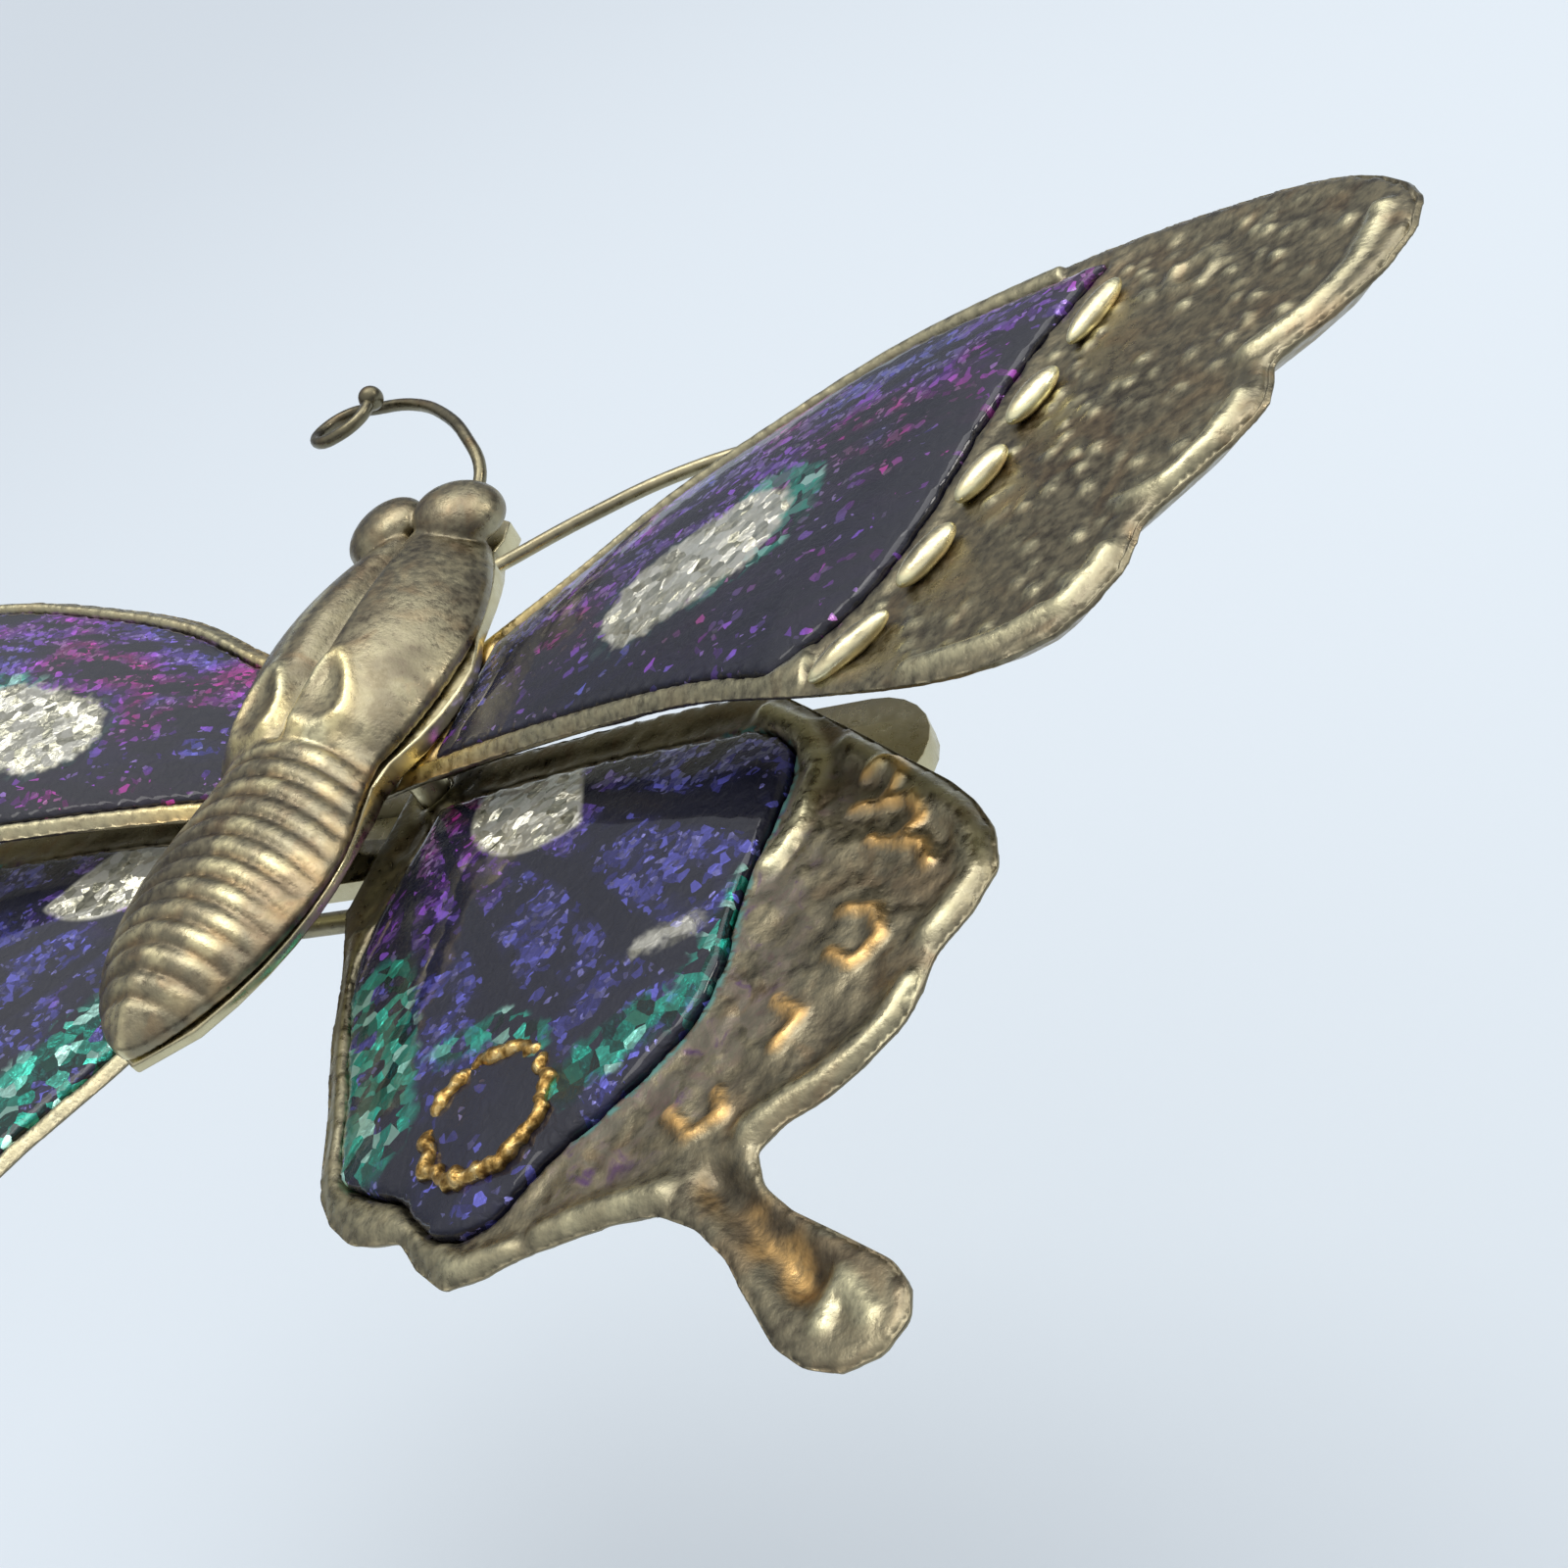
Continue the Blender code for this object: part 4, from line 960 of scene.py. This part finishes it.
def thorax_height(x, u, y):
    """Two leaf-shaped lobes, each ending in an outlined drop at the waist."""
    t = clamp01((y - WAIST_Y) / (NECK_Y - WAIST_Y))
    long = math.sin(math.pi * (0.10 + 0.84 * t))
    spread = 0.3 + 0.7 * math.sin(math.pi * min(1, t * 1.05)) ** 0.7
    seam = x - 0.15 * math.sin(math.pi * t)
    groove = math.exp(-abs(seam / (0.42 * spread + 0.08)) ** 1.6)
    height = (1.05 + 0.95 * long) * max(0.0, 1 - abs(u) ** 2.4) ** 0.85
    height -= (0.25 + 0.50 * long) * groove
    drop = lobe_drop(x, y)
    return height + 0.17 * math.exp(-((drop - 1.0) / 0.24) ** 2) - 0.16 * ease(drop, 0.9, 0.1)


def body_wear_and_painted_light(x, y):
    """How rubbed and painted bright, how darkened as painted shade and how gilt the body's brass is at a
    place.
    """
    patchy = ease(soft.noise(Vector((x, y, 2)) / 0.8), -0.25, 0.35)
    if y < WAIST_Y:
        groove = ridge_groove(x, y)
        inward = ease(abs(x) / body_half(y), 1.0, 0.5)
        # painted shade in the ring grooves; the ring backs are rubbed bright, partly a painted highlight
        return 0.85 * (1 - groove) ** 2 * patchy * inward, 0.9 * groove, 0.15 * patchy
    drop = lobe_drop(x, y)
    outline = math.exp(-((drop - 1.0) / 0.24) ** 2)
    seam = math.exp(-abs(x / 0.4) ** 1.6) * ease(y, -0.5, 1.5)
    # painted highlight: a long bright stripe on the left thorax lobe only
    painted_highlight = math.exp(-((x + 1.5) / 0.28) ** 2) * ease(abs(y - 3.6), 2.6, 1.8)
    # painted shade along the seam, and over the whole thorax at half strength
    return max(0.9 * outline, 0.8 * painted_highlight, 0.2 * patchy), max(0.8 * seam, 0.5), 0.4 * outline * patchy


def body_height(u, y):
    """Height over the body's floor at u, from -1 to 1 across, and a station along Y."""
    half = body_half(y)
    x = u * half
    behind = abdomen_height(x, u, y, half)
    if y < WAIST_Y:
        return behind
    return behind + (thorax_height(x, u, y) - behind) * ease(y, WAIST_Y, WAIST_Y + 1.0)


# %% [markdown]
# A fine grid is laid over the plan, each of its points is moved to the body's outline and height,
# and an extrude closes it underneath. A sine spaces the points across, so that they crowd at the
# steep sides. The eyes are squashed balls, and a remesh joins all three into one casting.

# %% Build the body
SKIRT_MM = 0.30
BODY_VOXEL_MM = 0.10
bpy.ops.object.select_all(action='DESELECT')
bpy.ops.mesh.primitive_grid_add(x_subdivisions=72, y_subdivisions=200, size=2)
body = bpy.context.active_object
body.name = "body_casting"
for vert in body.data.vertices:
    u = math.sin(vert.co.x * math.pi / 2)
    y = TAIL_Y + 0.03 + (vert.co.y + 1) / 2 * (NECK_Y - TAIL_Y - 0.03)
    vert.co = Vector((u * body_half(y), y, BODY_FLOOR + SKIRT_MM + max(0.0, body_height(u, y)))) * MM
pick(body)
bpy.ops.object.mode_set(mode='EDIT')
bpy.ops.mesh.select_all(action='SELECT')
bpy.ops.mesh.remove_doubles(threshold=0.000001)
bpy.ops.mesh.extrude_region_move(TRANSFORM_OT_translate={"value": (0, 0, -MM)})
bpy.ops.transform.resize(value=(1, 1, 0), center_override=(0, 0, BODY_FLOOR * MM))
bpy.ops.mesh.select_all(action='SELECT')
bpy.ops.mesh.normals_make_consistent(inside=False)
bpy.ops.object.mode_set(mode='OBJECT')
eyes = []
for side in SIDES.values():
    eye_spot = Vector((side * EYE_PLACE[0], EYE_PLACE[1], BODY_FLOOR + EYE_RISE)) * MM
    bpy.ops.object.select_all(action='DESELECT')
    bpy.ops.mesh.primitive_uv_sphere_add(segments=48, ring_count=32, radius=EYE_SIZE * MM, location=eye_spot,
                                         rotation=(0, side * math.radians(14), 0), scale=(1.0, 0.92, 0.58))
    eye = bpy.context.active_object
    rest_at_origin(eye)
    eyes.append(eye)
pick(body, *eyes)
bpy.ops.object.join()
even_skin(body, BODY_VOXEL_MM, 1)
# the attribute carries rubbing, painted highlight and painted shade
wear_and_painted_light = body.data.color_attributes.new("wear_and_painted_light", 'FLOAT_COLOR', 'POINT')
for vert in body.data.vertices:
    rub_and_highlight, painted_shade, gilt = body_wear_and_painted_light(vert.co.x / MM, vert.co.y / MM)
    wear_and_painted_light.data[vert.index].color = (clamp01(rub_and_highlight), 0, clamp01(painted_shade), clamp01(gilt))
finish_piece(body, "frame", "aged_brass", worn_brass_with_painted_light("body_brass", STAINS["forewing"]), "body_shell")
print("body", count_faces(body), "faces")

# %% [markdown]
# ## Antennae
# Each antenna is drawn wire. It could be skinned from a chain of points, but a curve bends like
# wire by itself, so a curve through a few points is thickened with a bevel, turned into a mesh, and
# a small ball is joined to its end.

# %% Antennae
WIRE_MM = 0.24
KNOB_MM = 0.48
LOOP_MM = 1.35


def drawn_wire(name, points, radius_mm, knob_mm):
    """A smooth wire through the points, with a ball on its end."""
    data = bpy.data.curves.new(name, 'CURVE')
    data.dimensions = '3D'
    data.bevel_depth = radius_mm * MM
    data.bevel_resolution = 5
    data.resolution_u = 10
    data.use_fill_caps = True
    line = data.splines.new('BEZIER')
    line.bezier_points.add(len(points) - 1)
    for target, spot in zip(line.bezier_points, points):
        target.co = Vector(spot) * MM
        target.handle_left_type = target.handle_right_type = 'AUTO'
    wire = bpy.data.objects.new(name, data)
    bpy.context.collection.objects.link(wire)
    pick(wire)
    bpy.ops.object.convert(target='MESH')
    wire = bpy.context.active_object
    bpy.ops.object.select_all(action='DESELECT')
    bpy.ops.mesh.primitive_uv_sphere_add(segments=32, ring_count=20, radius=knob_mm * MM,
                                         location=Vector(points[-1]) * MM)
    knob = bpy.context.active_object
    pick(wire, knob)
    bpy.ops.object.join()
    bpy.ops.object.shade_smooth()
    return wire


wire_brass = aged_brass("drawn_wire", rub_and_highlight=0.6, tarnish=0.2)
# painted shade: the left antenna is the wire brass darkened to 0.55, with more tarnish
painted_shade_wire = aged_brass("painted_shade_wire", rub_and_highlight=0.3, tarnish=0.5, shade=0.55)
feeler_z = BODY_FLOOR + 0.5
loop_centre = Vector((-5.6, 16.2, feeler_z + 2.1))
loop = [loop_centre + Vector((LOOP_MM * math.cos(a), LOOP_MM * math.sin(a), 0.12 * k))
        for k, a in enumerate([math.radians(65 + 320 * k / 6) for k in range(7)])]
left_feeler = drawn_wire("antenna_left_wire", [
    (1.0, 11.9, feeler_z), (1.0, 13.1, feeler_z + 0.5), (0.2, 14.5, feeler_z + 1.1),
    (-1.2, 16.0, feeler_z + 1.6), (-3.2, 17.2, feeler_z + 1.9)] + loop, WIRE_MM, KNOB_MM)
finish_piece(left_feeler, "frame", "pin_wire", painted_shade_wire, "antenna_left")
right_feeler = drawn_wire("antenna_right_wire", [
    (4.0, 7.22, BODY_FLOOR + 0.4), (7.0, 8.72, BODY_FLOOR + 0.45), (10.2, 10.02, BODY_FLOOR + 0.4),
    (13.2, 10.72, BODY_FLOOR + 0.15), (16.0, 10.92, BODY_FLOOR - 0.15)], WIRE_MM, KNOB_MM)
finish_piece(right_feeler, "frame", "pin_wire", wire_brass, "antenna_right")
print("antennae", count_faces(left_feeler), count_faces(right_feeler))

# %% [markdown]
# ## Gold rings
# The ring on each hindwing is laid in gold leaf, so it is broken and uneven. It could be painted in
# the glaze, but it stands proud of it, so a torus is made fatter and thinner around its turn, and
# where it is thinnest it dips under the glaze.

# %% Gold rings
RING_CENTRE = (11.7, -13.5)
RING_RADIUS = 1.75
RING_WIRE = 0.24
RING_THINNEST = 0.3


def gold_finish():
    """Bright gold leaf with dull spots."""
    f = Finish("gold_leaf")
    fine = f.noise(0.25, 4)
    base = f.ramp(fine, (0.35, (0.20, 0.11, 0.03)), (0.5, (0.60, 0.38, 0.12)), (0.7, (0.85, 0.68, 0.34)))
    return f.set(Base_Color=base, Metallic=1.0, Roughness=f.step(fine, 0.3, 0.7, 0.45, 0.25),
                 Normal=f.bump(fine, 0.06))


gold = gold_finish()
bpy.ops.object.select_all(action='DESELECT')
bpy.ops.mesh.primitive_torus_add(major_segments=120, minor_segments=12,
                                 major_radius=RING_RADIUS * MM, minor_radius=RING_WIRE * MM)
ring = bpy.context.active_object
ring.name = "hindwing_ring_leaf_right"
for vert in ring.data.vertices:
    x, y, z = vert.co / MM
    angle = math.atan2(y, x)
    turn = Vector((math.cos(angle), math.sin(angle), 0))
    wobble = 0.16 * soft.noise(turn * 3.0) + 0.06 * soft.noise(turn * 9.0)
    fat = 0.85 + 0.6 * soft.noise(turn * 4.5 + Vector((0, 0, 8)))
    wire = max(RING_THINNEST, fat)
    radius = RING_RADIUS * (0.97 + wobble) + (math.hypot(x, y) - RING_RADIUS) * wire
    lift = 0.30 + z * wire - 0.25 * ease(fat, 0.62, 0.45)
    ring_x = RING_CENTRE[0] + radius * turn.x
    ring_y = RING_CENTRE[1] + radius * turn.y
    vert.co = on_wing("hindwing", 1, ring_x, ring_y, lift) * MM
pick(ring)
bpy.ops.object.shade_smooth()
twin = mirror_piece(ring, "hindwing_ring_leaf_left")
finish_piece(ring, "frame", "aged_brass", gold, "hindwing_ring_right")
finish_piece(twin, "frame", "aged_brass", gold, "hindwing_ring_left")
print("rings", count_faces(ring), "faces each")

# %% [markdown]
# ## The back
# The bar, its rivets and posts, the hinge, the pin and the catch are turned and folded parts with
# small rounded edges. Their shapes are right already, so they aren't modelled anew: a copy of each
# node gets its flat faces joined and its edges bevelled, which gives every edge a fine bright line.
# The base plate is tucked in under the body, so that it only shows beside the waist.

# %% Round the edges of the back's parts
BACK_PARTS = {
    "back_bar": ("frame", 0.14, back_brass, "aged_brass"),
    "body_base": ("frame", 0.08, cast_brass, "aged_brass"),
    "wing_rivet_left": ("frame", 0.08, back_brass, "aged_brass"),
    "wing_rivet_right": ("frame", 0.08, back_brass, "aged_brass"),
    "wing_post_left": ("frame", 0.08, back_brass, "aged_brass"),
    "wing_post_right": ("frame", 0.08, back_brass, "aged_brass"),
    "hinge_bracket": ("frame", 0.08, back_brass, "aged_brass"),
    "hinge_rivet": ("frame", 0.05, back_brass, "aged_brass"),
    "catch_base": ("frame", 0.06, back_brass, "aged_brass"),
    "pin_stem": ("pin", 0.05, wire_brass, "pin_wire"),
    "catch_collar": ("collar", 0.05, wire_brass, "pin_wire"),
}
for node, (rides_on, width, finish, slot) in BACK_PARTS.items():
    item = copy_node(node, node + "_rounded")
    if node == "body_base":
        for vert in item.data.vertices:
            vert.co.x *= 1 - 0.14 * ease(abs(vert.co.y / MM - 1.2), 1.0, 3.5)
            vert.co.y += 0.4 * MM * ease(vert.co.y / MM, -11.0, -12.2)
    bpy.ops.object.mode_set(mode='EDIT')
    bpy.ops.mesh.select_all(action='SELECT')
    bpy.ops.mesh.dissolve_limited(angle_limit=math.radians(0.5))
    bpy.ops.object.mode_set(mode='OBJECT')
    bpy.ops.object.modifier_add(type='BEVEL')
    bevel = item.modifiers[-1]
    bevel.width = width * MM
    bevel.segments = 2
    bevel.limit_method = 'ANGLE'
    bevel.angle_limit = math.radians(35)
    apply_all(item)
    bpy.ops.object.shade_smooth_by_angle(angle=math.radians(40))
    finish_piece(item, rides_on, slot, finish, node)
    print(item.name, count_faces(item), "faces")
